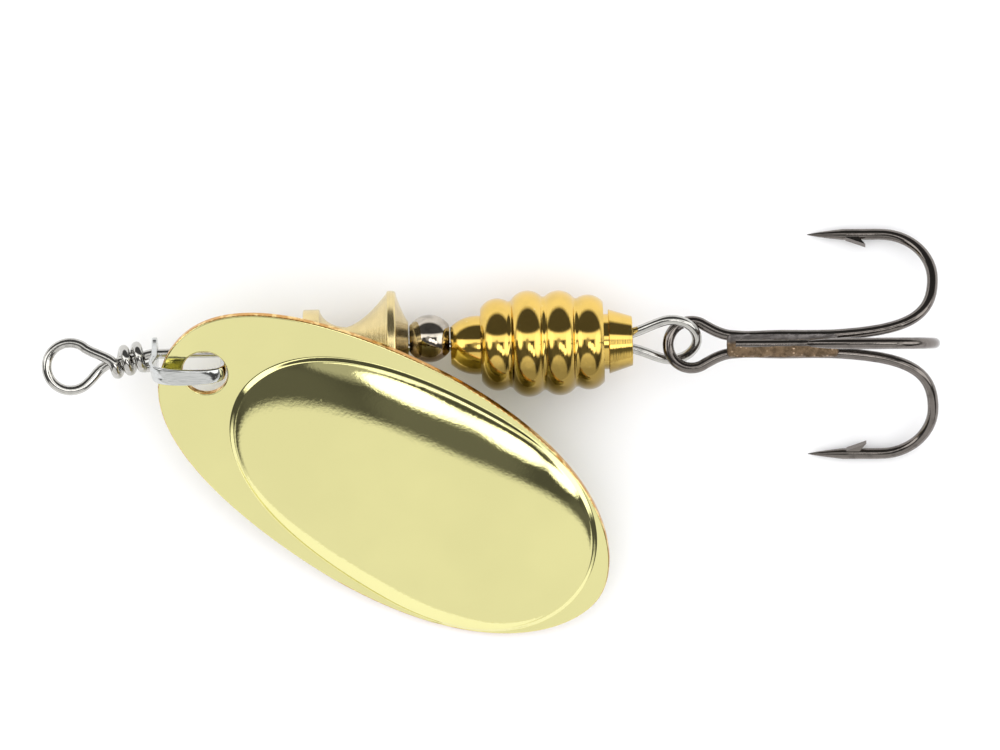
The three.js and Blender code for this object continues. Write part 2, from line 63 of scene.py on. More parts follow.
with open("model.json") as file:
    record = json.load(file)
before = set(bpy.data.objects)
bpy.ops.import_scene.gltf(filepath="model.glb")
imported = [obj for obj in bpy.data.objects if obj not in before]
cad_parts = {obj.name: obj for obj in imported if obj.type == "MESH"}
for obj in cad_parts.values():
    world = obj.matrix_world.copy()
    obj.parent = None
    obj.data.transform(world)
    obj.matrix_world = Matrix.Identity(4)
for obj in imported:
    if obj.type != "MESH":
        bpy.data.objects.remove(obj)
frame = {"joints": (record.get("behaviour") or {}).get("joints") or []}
CAD_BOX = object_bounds()

MM = 0.001
ALONG = Vector((1, 0, 0))


# ---------------------------------------------------------------- sizes and colours


def length(name, millimetres, description):
    return FloatProperty(
        name=name,
        description=description,
        default=millimetres * MM,
        min=0.0,
        precision=5,
        unit="LENGTH",
    )


def angle(name, degrees, description):
    return FloatProperty(
        name=name,
        description=description,
        default=math.radians(degrees),
        subtype="ANGLE",
    )


def colour(name, value, description):
    return FloatVectorProperty(
        name=name,
        description=description,
        default=value,
        min=0.0,
        max=1.0,
        size=3,
        subtype="COLOR",
    )


class WireSettings(PropertyGroup):
    """The stiff wire that everything is strung on."""

    diameter: length("Diameter", 0.9, "Diameter of the spring wire")
    eye_radius: length("Eye radius", 2.14, "Line-tie eye, to the middle of the wire")
    eye_drop: length("Eye drop", 0.92, "How far the eye's middle hangs off the shaft axis")
    crossing: length("Crossing", 3.2, "Where the eye's two strands cross")
    neck_length: length("Neck length", 4.14, "Bent stretch of shaft inside the wraps")
    wrap_turns: FloatProperty(
        name="Wrap turns",
        description="Turns of the wire's end round the neck",
        default=2.25,
    )
    wrap_pitch: length("Wrap pitch", 1.15, "Advance of one turn of the wraps")
    wrap_tail: length("Wrap tail", 0.74, "Straight end of the wrapped wire")
    loop_radius: length("Loop radius", 2.3, "Rear loop, to the middle of the wire")
    loop_tilt: angle("Loop tilt", 40.0, "Turn of the rear loop's plane about the shaft")
    loop_reach: length("Loop reach", 3.5, "From the body's tail to the loop's middle")
    colour: colour("Colour", (0.54, 0.53, 0.50), "Bright spring wire")


class ClevisSettings(PropertyGroup):
    """The bent strip that carries the blade."""

    half_span: length("Half span", 3.13, "From the clevis's middle to the middle of each leg")
    bow_height: length("Bow height", 1.75, "Rise of the bow over the blade's swing axis")
    bow_squareness: FloatProperty(
        name="Bow squareness",
        description="Shape of the bow: 2 is an ellipse, more is squarer",
        default=2.5,
    )
    thickness: length("Thickness", 0.5, "Thickness of the strip")
    width: length("Width", 1.36, "Width of the legs")
    swell: FloatProperty(
        name="Swell",
        description="Share by which the strip spreads to its upper side at the front shoulder",
        default=0.55,
    )
    flare: FloatProperty(
        name="Flare",
        description="Rise of the spread side over its spread, which keeps it clear of the blade",
        default=0.9,
    )
    crown: length("Crown", 0.15, "How far the strip's edges drop below its middle")
    ear_radius: length("Ear radius", 1.5, "Round ear that the shaft passes through")
    pivot_height: length("Pivot height", 3.9, "From the shaft to the blade's swing axis")
    lean: angle("Lean", 24.0, "How far the clevis leans over at rest")
    colour: colour("Colour", (0.60, 0.61, 0.60), "Polished steel strip")


class BladeSettings(PropertyGroup):
    """The pressed and plated blade."""

    length: length("Length", 45.0, "From tip to tail")
    half_width: length("Half width", 11.5, "From the long axis to the widest edge")
    widest_at: length("Widest at", 23.8, "From the tip to the widest place")
    thickness: length("Thickness", 0.8, "Thickness of the sheet")
    hole_radius: length("Hole radius", 2.03, "Hole that the clevis passes through")
    hole_from_tip: length("Hole from tip", 3.74, "From the tip to the hole's middle")
    front_margin: length("Front margin", 2.26, "Sheet in front of the hole")
    yaw: angle("Yaw", 32.2, "Turn of the blade in its own plane at rest")
    dome_start: length("Dome start", 7.25, "From the tip to the dome's foot")
    dome_end: length("Dome end", 43.35, "From the tip to the far end of the dome's foot")
    dome_half_width: length("Dome half width", 10.64, "Half of the dome's width")
    dome_widest_at: length("Dome widest at", 28.6, "From the tip to the dome's widest place")
    dome_height: length("Dome height", 2.3, "Height of the dome over the rim")
    dome_roundness: FloatProperty(
        name="Dome roundness",
        description="Power of the dome's profile: 2 is round, more is flatter on top",
        default=2.25,
    )
    dome_fullness: FloatProperty(
        name="Dome fullness",
        description="How steeply the dome meets its foot: less than 1 is steeper",
        default=0.86,
    )
    step_height: length("Step height", 0.32, "Height of the crease round the dome")
    step_width: length("Step width", 0.4, "Width of the crease round the dome")
    colour: colour("Colour", (0.80, 0.76, 0.36), "Pale lemon gold plate")
    edge_colour: colour("Edge colour", (0.58, 0.29, 0.06), "Warmer metal of the sheet's cut edge")


class TurnedSettings(PropertyGroup):
    """The beads, the bell and the body, all turned on a lathe."""

    bearing_radius: length("Bearing radius", 2.0, "Barrel bead between clevis and bell")
    bearing_end_radius: length("Bearing end radius", 1.25, "Barrel bead at its ends")
    bell_front_radius: length("Bell front radius", 3.6, "Flange at the bell's front")
    bell_front_rim: length("Bell front rim", 1.5, "Thickness of that flange")
    bell_waist_radius: length("Bell waist radius", 1.95, "Narrowest place of the bell")
    bell_waist_at: length("Bell waist at", 3.9, "From the bell's front to its waist")
    bell_rim_radius: length("Bell rim radius", 5.1, "Widest place of the bell")
    bell_rim_at: length("Bell rim at", 7.95, "From the bell's front to its rim")
    bell_rim_width: length("Bell rim width", 0.85, "Thickness of the bell's rim")
    bell_rear_radius: length("Bell rear radius", 2.3, "Bell at its rear end")
    ball_radius: length("Ball radius", 2.15, "Polished bead behind the bell")
    ball_bore: length("Ball bore", 1.2, "Radius of the hole through that bead")
    rib_round: length("Rib round", 1.75, "Section radius of each rib's crest")
    brass: colour("Body brass", (0.76, 0.52, 0.13), "Polished brass of the body")
    bell_brass: colour("Bell brass", (0.76, 0.62, 0.31), "Satin brass of the bell")
    bead_steel: colour("Bead steel", (0.52, 0.47, 0.40), "Polished steel of the bead")


class HookSettings(PropertyGroup):
    """The treble hook: a double hook with a single one brazed on its shank."""

    wire_diameter: length("Wire diameter", 1.0, "Diameter of the hook wire")
    eye_radius: length("Eye radius", 2.1, "Hook eye, to the middle of the wire")
    strand_offset: length("Strand offset", 0.8, "Each strand of the double hook, from the middle")
    axis_rise: length("Axis rise", 0.46, "Hook axis above the plane of the eye")
    single_rise: length("Single rise", 0.6, "Single hook's shank above the hook axis")
    shank_start: length("Shank start", 3.6, "From the eye to the shank")
    shank_end: length("Shank end", 12.5, "From the eye to the bends")
    bend_middle: length("Bend middle", 17.0, "From the eye to the middle of the bends")
    bend_radius: length("Bend radius", 4.72, "Radius of the bends' outer arc")
    gape: length("Gape", 11.47, "From the hook axis to each point")
    point_end: length("Point end", 10.4, "From the eye to the tips of the points")
    taper: length("Taper", 3.2, "Length of each point's taper")
    barb_at: length("Barb at", 14.0, "From the eye to the barb's root")
    barb_length: length("Barb length", 1.7, "Length of each barb")
    barb_height: length("Barb height", 0.7, "How far each barb stands off")
    barb_width: length("Barb width", 0.6, "Width of each barb")
    pitch: angle("Pitch", 2.75, "Climb of the shank at rest")
    sideways: angle("Sideways", 1.3, "Sideways turn of the shank at rest")
    solder_radius: length("Solder radius", 0.98, "Radius of the brazed stretch")
    solder_start: length("Solder start", 3.2, "From the eye to the brazed stretch")
    solder_end: length("Solder end", 13.2, "From the eye to the brazed stretch's far end")
    colour: colour("Colour", (0.20, 0.18, 0.165), "Black nickel")
    solder_colour: colour("Solder colour", (0.26, 0.18, 0.11), "Brown brazed metal")


class StageSettings(PropertyGroup):
    """Floor, light and camera."""

    floor_colour: colour("Floor colour", (0.93, 0.93, 0.94), "Pale floor")
    backdrop: FloatProperty(
        name="Backdrop", description="Brightness behind the floor", default=1.4
    )
    view_width: length("View width", 90.0, "Width that the camera sees at the shaft")
    distance: length("Distance", 600.0, "From the camera to the shaft")
    aim_x: length("Aim along", 38.68, "Where the camera looks, along the shaft")
    aim_y: FloatProperty(
        name="Aim across",
        description="Where the camera looks, across the shaft",
        default=-2.75 * MM,
        unit="LENGTH",
    )
    roll: angle("Roll", -1.6, "Turn of the camera about its own line of sight")
    turned_sides: IntProperty(
        name="Turned sides", description="Segments round each turned piece", default=160
    )


def millimetres(group):
    """The group's lengths in millimetres, and its other values as they are."""
    values = SimpleNamespace()
    for prop in group.bl_rna.properties:
        if prop.identifier in ("rna_type", "name"):
            continue
        value = getattr(group, prop.identifier)
        if getattr(prop, "unit", "NONE") == "LENGTH":
            value = value / MM
        setattr(values, prop.identifier, value)
    return values


# ---------------------------------------------------------------- places taken from the frame


def node_range(node):
    """First and last place of a node along the shaft, in millimetres."""
    low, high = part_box(node)
    return low.x / MM, high.x / MM


def joint_place(name):
    for joint in frame["joints"]:
        if joint["name"] == name:
            return Vector(joint["pos_m"]) / MM
    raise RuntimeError(f"the frame has no joint named {name}")


# ---------------------------------------------------------------- shader building


class Value:
    """A number that varies over a surface. Arithmetic on it adds Math nodes."""

    def __init__(self, finish, socket):
        self.finish = finish
        self.socket = socket

    def _math(self, operation, *items):
        node = self.finish.node("ShaderNodeMath", {"operation": operation}, dict(enumerate(items)))
        return Value(self.finish, node.outputs[0])

    def __add__(self, other):
        return self._math("ADD", self, other)

    __radd__ = __add__

    def __sub__(self, other):
        return self._math("SUBTRACT", self, other)

    def __rsub__(self, other):
        return self._math("SUBTRACT", other, self)

    def __mul__(self, other):
        return self._math("MULTIPLY", self, other)

    __rmul__ = __mul__

    def eased(self, low, high):
        """0 below low, 1 above high, and a smooth rise between them."""
        node = self.finish.node(
            "ShaderNodeMapRange",
            {"interpolation_type": "SMOOTHSTEP"},
            {"Value": self, "From Min": low, "From Max": high},
        )
        return Value(self.finish, node.outputs["Result"])


class Finish:
    """Builds the nodes of one material, or of the surroundings."""

    def __init__(self, owner):
        owner.use_nodes = True
        self.owner = owner
        self.tree = owner.node_tree
        self.tree.nodes.clear()

    def node(self, kind, settings=None, inputs=None):
        """Adds a node; each of its inputs is a constant, a value or another node's output."""
        node = self.tree.nodes.new(kind)
        for key, value in (settings or {}).items():
            setattr(node, key, value)
        for key, item in (inputs or {}).items():
            self.join(item, node.inputs[key])
        return node

    def join(self, item, socket):
        if isinstance(item, Value):
            item = item.socket
        if isinstance(item, bpy.types.NodeSocket):
            self.tree.links.new(item, socket)
        elif socket.type == "RGBA" and len(item) == 3:
            socket.default_value = (*item, 1.0)
        else:
            socket.default_value = item

    def coordinates(self, stretch=(1, 1, 1)):
        """Places on the piece in millimetres, stretched along the axes."""
        source = self.node("ShaderNodeTexCoord").outputs["Object"]
        return self.scaled(source, [factor / MM for factor in stretch])

    def wrapped(self, around, along):
        """Places on a piece's own UV map, as (around, along, 0) times these factors."""
        source = self.node("ShaderNodeUVMap").outputs["UV"]
        return self.scaled(source, (around, along, 1.0))

    def scaled(self, source, factors):
        inputs = {"Vector": source, "Scale": factors}
        return self.node("ShaderNodeMapping", {"vector_type": "POINT"}, inputs).outputs["Vector"]

    def noise(self, places, scale, detail=3.0, roughness=0.55):
        """Cloudy noise from 0 to 1; scale is in cells per unit of the places."""
        node = self.node(
            "ShaderNodeTexNoise",
            {"noise_dimensions": "3D"},
            {"Vector": places, "Scale": scale, "Detail": detail, "Roughness": roughness},
        )
        return Value(self, node.outputs["Fac"])

    def specks(self, places, scale):
        """Distance from scattered points, 0 at each point."""
        inputs = {"Vector": places, "Scale": scale}
        node = self.node("ShaderNodeTexVoronoi", {"feature": "F1"}, inputs)
        return Value(self, node.outputs["Distance"])

    def axis(self, places, name):
        node = self.node("ShaderNodeSeparateXYZ", inputs={"Vector": places})
        return Value(self, node.outputs[name])

    def attribute(self, name):
        node = self.node("ShaderNodeAttribute", {"attribute_name": name})
        return Value(self, node.outputs["Fac"])

    def mix(self, first, second, factor):
        """Colour that goes from first to second as the factor goes from 0 to 1."""
        node = self.node("ShaderNodeMix", {"data_type": "RGBA"}, {0: factor, 6: first, 7: second})
        return node.outputs[2]

    def bump(self, height, distance, strength=1.0):
        """Normal of a surface whose height varies; the distance is in millimetres."""
        return self.node(
            "ShaderNodeBump",
            inputs={"Strength": strength, "Distance": distance * MM, "Height": height},
        ).outputs["Normal"]

    def surface(self, **inputs):
        """Ends the material in one surface with these inputs."""
        named = {key.replace("_", " "): item for key, item in inputs.items()}
        surface = self.node("ShaderNodeBsdfPrincipled", inputs=named)
        self.node("ShaderNodeOutputMaterial", inputs={"Surface": surface.outputs[0]})
        return self.owner

    def metal(self, base, roughness, normal):
        return self.surface(Base_Color=base, Metallic=1.0, Roughness=roughness, Normal=normal)


def new_finish(name):
    return Finish(bpy.data.materials.new(name))


def shade(value, factor):
    """A colour made darker or lighter."""
    return tuple(min(1.0, part * factor) for part in value)


# ---------------------------------------------------------------- finishes


def drawn_wire_finish(name, base, roughness, grime):
    """Drawn wire: fine streaks along it, a few scuffs and slight grime."""
    finish = new_finish(name)
    streaks = finish.noise(finish.wrapped(22.0, 1.2), 4.0, 4.0)
    places = finish.coordinates()
    cloud = finish.noise(places, 0.9, 4.0)
    fine = finish.noise(places, 7.0, 2.0)
    scuffs = 1 - finish.specks(places, 0.9).eased(0.05, 0.14)
    dirt = cloud.eased(0.52, 0.7) * grime
    tone = finish.mix(base, shade(base, 0.75), streaks.eased(0.35, 0.7) * 0.5)
    tone = finish.mix(tone, shade(base, 0.35), dirt)
    rough = streaks * 0.08 + dirt * 0.2 + scuffs * 0.12 + (roughness - 0.03)
    normal = finish.bump(streaks * 0.5 + fine * 0.3 + cloud * 0.8, 0.012)
    return finish.metal(tone, rough, normal)


def strip_finish(base):
    """Tumbled steel strip: bright, with faint dings and a brushed haze."""
    finish = new_finish("clevis_steel")
    places = finish.coordinates()
    haze = finish.noise(finish.coordinates((1.0, 9.0, 9.0)), 0.8, 4.0)
    dings = finish.specks(places, 1.7).eased(0.06, 0.16)
    tone = finish.mix(shade(base, 0.82), base, haze.eased(0.3, 0.65))
    rough = haze * 0.1 + (1 - dings) * 0.2 + 0.02
    normal = finish.bump(dings * 0.5 + haze * 0.5, 0.01)
    return finish.metal(tone, rough, normal)


def gold_plate_finish(base, edge):
    """Bright plate over polished sheet: faint ripple, pin specks, and a warm worn cut edge with
    painted highlight dashes.
    """
    finish = new_finish("gold_plate")
    places = finish.coordinates()
    ripple = finish.noise(places, 0.16, 2.0)
    peel = finish.noise(places, 3.2, 3.0)
    grain = finish.noise(places, 12.0, 2.0)
    pits = finish.specks(places, 0.55)
    pit = 1 - pits.eased(0.03, 0.09)
    tint = finish.noise(places, 0.07, 3.0)
    wall = finish.attribute("cut_edge")
    worn = (wall * 1.6 + (peel - 0.5) * 0.9 - 0.3).eased(0.25, 0.75)
    tone = finish.mix(base, shade(base, 0.9), tint.eased(0.35, 0.7) * 0.5)
    # Painted highlights: bright gold dashes along the worn cut edge stand in for glints of light.
    painted_edge_glints = finish.noise(places, 1.3, 3.0).eased(0.5, 0.6)
    tone = finish.mix(tone, finish.mix(edge, (0.95, 0.72, 0.30), painted_edge_glints * 0.7), worn)
    rough = peel * 0.04 + grain * 0.03 + pit * 0.12 + worn * 0.12 + 0.01
    normal = finish.bump(ripple * 1.0 + peel * 0.2 + grain * 0.02 - pit * 0.05, 0.02)
    return finish.metal(tone, rough, normal)


def painted_blade_reflection(finish, tone, reflection_colour, start, end):
    """Mixes in a painted brown reflection of the blade over one side, with a ragged border."""
    places = finish.coordinates()
    across = finish.axis(places, "Y") + (finish.noise(places, 0.8, 3.0) - 0.5) * 1.5
    return finish.mix(tone, reflection_colour, 1 - across.eased(end, start))


def polished_brass_finish(name, base):
    """Lathe-polished brass: rings left by the tool, and a painted brown reflection of the blade
    over one side.
    """
    finish = new_finish(name)
    places = finish.coordinates()
    rings = finish.noise(finish.coordinates((14.0, 0.15, 0.15)), 1.0, 3.0)
    cloud = finish.noise(places, 0.5, 3.0)
    spots = 1 - finish.specks(places, 0.8).eased(0.03, 0.1)
    tone = finish.mix(base, shade(base, 0.8), cloud.eased(0.4, 0.75) * 0.6)
    tone = finish.mix(tone, (0.95, 0.86, 0.55), spots * 0.35)
    # Painted reflection of the blade: the side towards the blade is painted dark brown.
    tone = painted_blade_reflection(finish, tone, shade(base, 0.38), -0.8, -2.6)
    rough = rings * 0.06 + cloud * 0.05 + 0.03
    normal = finish.bump(rings * 0.6 + cloud * 0.4, 0.01)
    return finish.metal(tone, rough, normal)


def turned_brass_finish(base):
    """Satin brass straight off the lathe: fine tool marks all round it."""
    finish = new_finish("turned_brass")
    marks = finish.noise(finish.coordinates((16.0, 0.1, 0.1)), 1.0, 4.0)
    fine = finish.noise(finish.coordinates((40.0, 0.3, 0.3)), 1.0, 2.0)
    cloud = finish.noise(finish.coordinates(), 0.6, 3.0)
    tone = finish.mix(base, shade(base, 0.75), cloud.eased(0.35, 0.7) * 0.5)
    tone = finish.mix(tone, shade(base, 0.55), marks.eased(0.55, 0.75) * 0.5)
    rough = marks * 0.16 + cloud * 0.06 + 0.12
    normal = finish.bump(marks * 0.7 + fine * 0.3, 0.025)
    return finish.metal(tone, rough, normal)


def bead_finish(base):
    """Polished bead with a blotchy skin and a painted brown reflection of the blade over the side
    towards it.
    """
    finish = new_finish("polished_steel")
    places = finish.coordinates()
    blotch = finish.noise(places, 0.9, 4.0)
    fine = finish.noise(places, 6.0, 2.0)
    tone = finish.mix(base, shade(base, 0.5), blotch.eased(0.42, 0.66) * 0.7)
    # Painted reflection of the blade: the bead's side towards the blade is painted brown.
    tone = painted_blade_reflection(finish, tone, (0.24, 0.17, 0.11), 0.6, -0.6)
    rough = blotch * 0.06 + fine * 0.04 + 0.02
    normal = finish.bump(blotch * 0.8 + fine * 0.2, 0.01)
    return finish.metal(tone, rough, normal)


def solder_finish(base, middle):
    """Brazed metal: brown, lumpy, with bright bronze grains, and greyer along one side."""
    finish = new_finish("solder")
    places = finish.coordinates()
    lumps = finish.noise(places, 1.6, 5.0, 0.65)
    grains = 1 - finish.specks(places, 2.2).eased(0.1, 0.28)
    patchy = finish.noise(places, 0.6, 2.0).eased(0.42, 0.62)
    across = finish.axis(places, "Y") - middle + (lumps - 0.5) * 0.8
    tone = finish.mix(shade(base, 0.55), base, lumps.eased(0.35, 0.65))
    tone = finish.mix(tone, (0.85, 0.62, 0.42), grains * patchy * 0.9)
    tone = finish.mix(tone, (0.22, 0.20, 0.19), across.eased(-0.1, 0.35))
    rough = lumps * 0.3 - grains * 0.15 + 0.25
    normal = finish.bump(lumps + grains * 0.2, 0.12)
    return finish.metal(tone, rough, normal)


# ---------------------------------------------------------------- modelling helpers


def edit_mode(active=True):
    """Goes into edit mode, where vertices are selected, or back out of it."""
    bpy.ops.object.mode_set(mode="EDIT" if active else "OBJECT")
    if active:
        bpy.ops.mesh.select_mode(type="VERT")


def take_only(*pieces):
    """Selects these pieces and nothing else; the last is the active one."""
    bpy.ops.object.select_all(action="DESELECT")
    for piece in pieces:
        piece.select_set(True)
        bpy.context.view_layer.objects.active = piece


def select_where(piece, kind, test):
    """In edit mode, selects the vertices, edges or faces that pass a test, and nothing else."""
    bpy.ops.mesh.select_all(action="DESELECT")
    edit_mode(False)
    items = {"VERT": "vertices", "EDGE": "edges", "FACE": "polygons"}[kind]
    for item in getattr(piece.data, items):
        item.select = test(item)
    bpy.ops.object.mode_set(mode="EDIT")
    bpy.ops.mesh.select_mode(type=kind)


def clean_up(gap=1e-4):
    """In edit mode, joins doubled vertices and turns every face outwards."""
    bpy.ops.mesh.select_all(action="SELECT")
    bpy.ops.mesh.remove_doubles(threshold=gap)
    bpy.ops.mesh.normals_make_consistent(inside=False)


def cubic(start, handle_a, handle_b, end, steps):
    """Points of a cubic curve, without its first point."""
    points = []
    for i in range(1, steps + 1):
        t = i / steps
        weights = ((1 - t) ** 3, 3 * t * (1 - t) ** 2, 3 * t * t * (1 - t), t**3)
        corners = (start, handle_a, handle_b, end)
        points.append(tuple(sum(w * c[k] for w, c in zip(weights, corners)) for k in (0, 1)))
    return points


def arc(middle, radius, first, last, steps):
    """Points of an arc from one angle to another, in degrees."""
    points = []
    for i in range(steps + 1):
        turn = math.radians(first + (last - first) * i / steps)
        points.append((middle[0] + radius * math.cos(turn), middle[1] + radius * math.sin(turn)))
    return points


def tangent_angle(x, y, radius):
    """Angle at which a line from a point touches a circle round the middle of the plane."""
    return math.degrees(math.acos(radius / math.hypot(x, y)))


def turned(name, profile, steps):
    """Draws an outline of (x, radius) pairs and spins it round the shaft axis."""
    bpy.ops.object.select_all(action="DESELECT")
    bpy.ops.mesh.primitive_plane_add(size=1, location=(0, 0, 0))
    edit_mode()
    bpy.ops.mesh.select_all(action="SELECT")
    bpy.ops.mesh.merge(type="CENTER")
    places = [Vector((x, 0, radius)) for x, radius in profile]
    bpy.ops.transform.translate(value=tuple(places[0]))
    for here, there in zip(places, places[1:] + places[:1]):
        step = tuple(there - here)
        bpy.ops.mesh.extrude_region_move(TRANSFORM_OT_translate={"value": step})
    bpy.ops.mesh.select_all(action="SELECT")
    bpy.ops.mesh.spin(steps=steps, angle=2 * math.pi, center=(0, 0, 0), axis=ALONG)
    clean_up()
    edit_mode(False)
    piece = bpy.context.object
    piece.name = name
    smooth(28)
    return piece


def tube(name, points, radius, shares=None, sides_setting=8, along=4):
    """A round wire along the points. The shares thin it towards its ends."""
    bpy.ops.object.select_all(action="DESELECT")
    bpy.ops.curve.primitive_bezier_curve_add(location=(0, 0, 0))
    piece = bpy.context.object
    piece.name = name
    line = piece.data
    line.splines.clear()
    spline = line.splines.new("BEZIER")
    spline.bezier_points.add(len(points) - 1)
    for i, (knot, place) in enumerate(zip(spline.bezier_points, points)):
        knot.co = place
        knot.handle_left_type = knot.handle_right_type = "AUTO"
        if shares:
            knot.radius = shares[i]
    line.dimensions = "3D"
    line.twist_mode = "MINIMUM"
    line.bevel_depth = radius
    line.bevel_resolution = sides_setting
    line.resolution_u = along
    line.use_fill_caps = True
    bpy.ops.object.convert(target="MESH")
    edit_mode()
    clean_up()
    edit_mode(False)
    return bpy.context.object


def smooth(degrees):
    """Shades the active piece smooth, apart from creases sharper than this angle."""
    bpy.ops.object.shade_smooth_by_angle(angle=math.radians(degrees))


def round_ends(piece, offset):
    """Rounds the flat ends of a wire."""
    take_only(piece)
    edit_mode()
    select_where(piece, "FACE", lambda face: len(face.vertices) > 4)
    bpy.ops.mesh.bevel(offset=offset, segments=3)
    edit_mode(False)


def set_knots(spline, knots):
    """Gives a flat curve its (place, handle, handle) knots."""
    for point, (place, left, right) in zip(spline.bezier_points, knots):
        point.handle_left_type = point.handle_right_type = "FREE"
        point.co = (*place, 0)
        point.handle_left = (*left, 0)
        point.handle_right = (*right, 0)


def plate(name, outlines, thickness, edge):
    """A flat plate from closed outlines of (place, handle, handle) knots; the first is the rim."""
    bpy.ops.object.select_all(action="DESELECT")
    bpy.ops.curve.primitive_bezier_circle_add(location=(0, 0, 0))
    piece = bpy.context.object
    piece.name = name
    line = piece.data
    line.splines.clear()
    line.dimensions = "2D"
    line.fill_mode = "BOTH"
    line.resolution_u = 24
    line.extrude = thickness / 2 - edge
    line.bevel_depth = edge
    line.bevel_resolution = 3
    line.offset = -edge
    for knots in outlines:
        spline = line.splines.new("BEZIER")
        spline.bezier_points.add(len(knots) - 1)
        spline.use_cyclic_u = True
        set_knots(spline, knots)
    bpy.ops.object.convert(target="MESH")
    edit_mode()
    clean_up(1e-5)
    edit_mode(False)
    return bpy.context.object


ROUND_HANDLE = 0.5523  # handle length that makes four cubic curves a circle


def circle_knots(x, y, radius):
    """Knots of a full circle, for plate()."""
    knots = []
    for quarter in range(4):
        turn = quarter * math.pi / 2
        place = Vector((math.cos(turn), math.sin(turn))) * radius + Vector((x, y))
        ahead = Vector((-math.sin(turn), math.cos(turn))) * radius * ROUND_HANDLE
        knots.append((place, place - ahead, place + ahead))
    return knots


def corner(x, y):
    return (Vector((x, y)), Vector((x, y)), Vector((x, y)))


def combine(piece, tool, operation):
    """Boolean of two solids; the tool is used up."""
    take_only(piece)
    bpy.ops.object.modifier_add(type="BOOLEAN")
    modifier = piece.modifiers[-1]
    modifier.operation = operation
    modifier.solver = "MANIFOLD"
    modifier.object = tool
    bpy.ops.object.modifier_apply(modifier=modifier.name)
    bpy.data.objects.remove(tool, do_unlink=True)
    take_only(piece)
    return piece


def weight_normals(piece):
    """Keeps large flat faces flat beside small rounded edges."""
    take_only(piece)
    bpy.ops.object.modifier_add(type="WEIGHTED_NORMAL")
    modifier = piece.modifiers[-1]
    modifier.keep_sharp = True
    modifier.weight = 80
    bpy.ops.object.modifier_apply(modifier=modifier.name)


def finish_piece(piece, place, body, nodes, material):
    """Moves a piece to its place, scales it to metres and ties it to the frame."""
    piece.data.transform(Matrix.Scale(MM, 4) @ place)
    piece.data.materials.clear()
    piece.data.materials.append(material)
    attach(piece, body)
    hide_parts(*nodes)
    bpy.ops.object.select_all(action="DESELECT")
    return piece


def bore_radius(wire):
    """Hole of a piece that turns on the wire, with some play."""
    play = 0.2
    return wire.diameter / 2 + play


def finish_turned(context, name, profile, place, node, material):
    """Turns a piece and ties it to its own body, which has the name of its node."""
    piece = turned(name, profile, context.scene.spinner_stage.turned_sides)
    finish_piece(piece, place, node, [node], material)


def at(x, y=0.0, z=0.0):
    return Matrix.Translation((x, y, z))


def turn(angle_value, axis):
    return Matrix.Rotation(angle_value, 4, axis)


# ---------------------------------------------------------------- wire shaft


class WirePath:
    """The line that the spring wire follows, in millimetres."""

    def __init__(self, wire):
        self.wire = wire
        self.radius = wire.diameter / 2
        self.neck_end = wire.crossing + wire.neck_length
        self.tail = node_range("ribbed_body")[1]

    def neck(self, x):
        bend = max(0.0, (self.neck_end - x) / self.wire.neck_length)
        return Vector((x, -self.wire.eye_drop * bend, -self.radius * bend * bend))

    def wraps(self):
        wire = self.wire
        clearance = 0.12
        steps_a_turn = 18
        wrap_radius = wire.diameter + clearance
        start = self.neck_end - wire.wrap_tail - wire.wrap_turns * wire.wrap_pitch
        steps = round(wire.wrap_turns * steps_a_turn)
        points = []
        for i in range(steps + 1):
            turns = wire.wrap_turns * i / steps
            round_it = 2 * math.pi * turns
            place = self.neck(start + turns * wire.wrap_pitch)
            place.y -= wrap_radius * math.sin(round_it)
            place.z += wrap_radius * math.cos(round_it)
            points.append(place)
        last = points[-1]
        points.append(Vector((self.neck_end - clearance, last.y + 0.05, last.z)))
        return points[::-1]

    def eye(self):
        wire = self.wire
        middle = 0.05
        opening = tangent_angle(wire.crossing - middle, 0, wire.eye_radius)
        steps = 20
        lift = self.radius * 0.9
        ring = arc((middle, -wire.eye_drop), wire.eye_radius, opening, 360 - opening, steps)
        return [Vector((x, y, lift * (1 - 2 * i / steps))) for i, (x, y) in enumerate(ring)]

    def loop(self):
        wire = self.wire
        tail = self.tail
        exit_offset = wire.diameter
        middle = tail + wire.loop_reach
        opening = (
            180
            - math.degrees(math.atan2(exit_offset, wire.loop_reach))
            - tangent_angle(wire.loop_reach, exit_offset, wire.loop_radius)
        )
        flat = [
            (tail - 5.2, 0.0),
            (tail - 3.6, 0.06),
            (tail - 2.4, 0.25),
            (tail - 1.2, 0.55),
            (tail, exit_offset),
            *arc((middle, 0.0), wire.loop_radius, opening, -opening, 18),
            (tail, -exit_offset),
            (tail - 1.4, -exit_offset * 0.68),
        ]
        lean = Vector((0, math.cos(wire.loop_tilt), math.sin(wire.loop_tilt)))
        return [ALONG * x + lean * across for x, across in flat]

    def points(self):
        steps = 6
        wire = self.wire
        along = [wire.crossing + wire.neck_length * i / steps for i in range(steps + 1)]
        neck = [self.neck(x) for x in along]
        straight = [Vector((self.neck_end + 1, 0, 0))]
        return self.wraps() + self.eye() + neck + straight + self.loop()


class SPINNER_OT_wire(Operator):
    """Wire shaft with its wrapped line-tie eye and its rear loop"""

    bl_idname = "spinner.wire"
    bl_label = "Wire shaft"

    def execute(self, context):
        wire = millimetres(context.scene.spinner_wire)
        path = WirePath(wire)
        piece = tube("wire", path.points(), path.radius, along=5)
        round_ends(piece, offset=0.07)
        smooth(40)
        material = drawn_wire_finish("spring_wire", wire.colour, 0.08, 0.25)
        finish_piece(piece, Matrix(), "shaft", ["wire_shaft"], material)
        return {"FINISHED"}


# ---------------------------------------------------------------- clevis


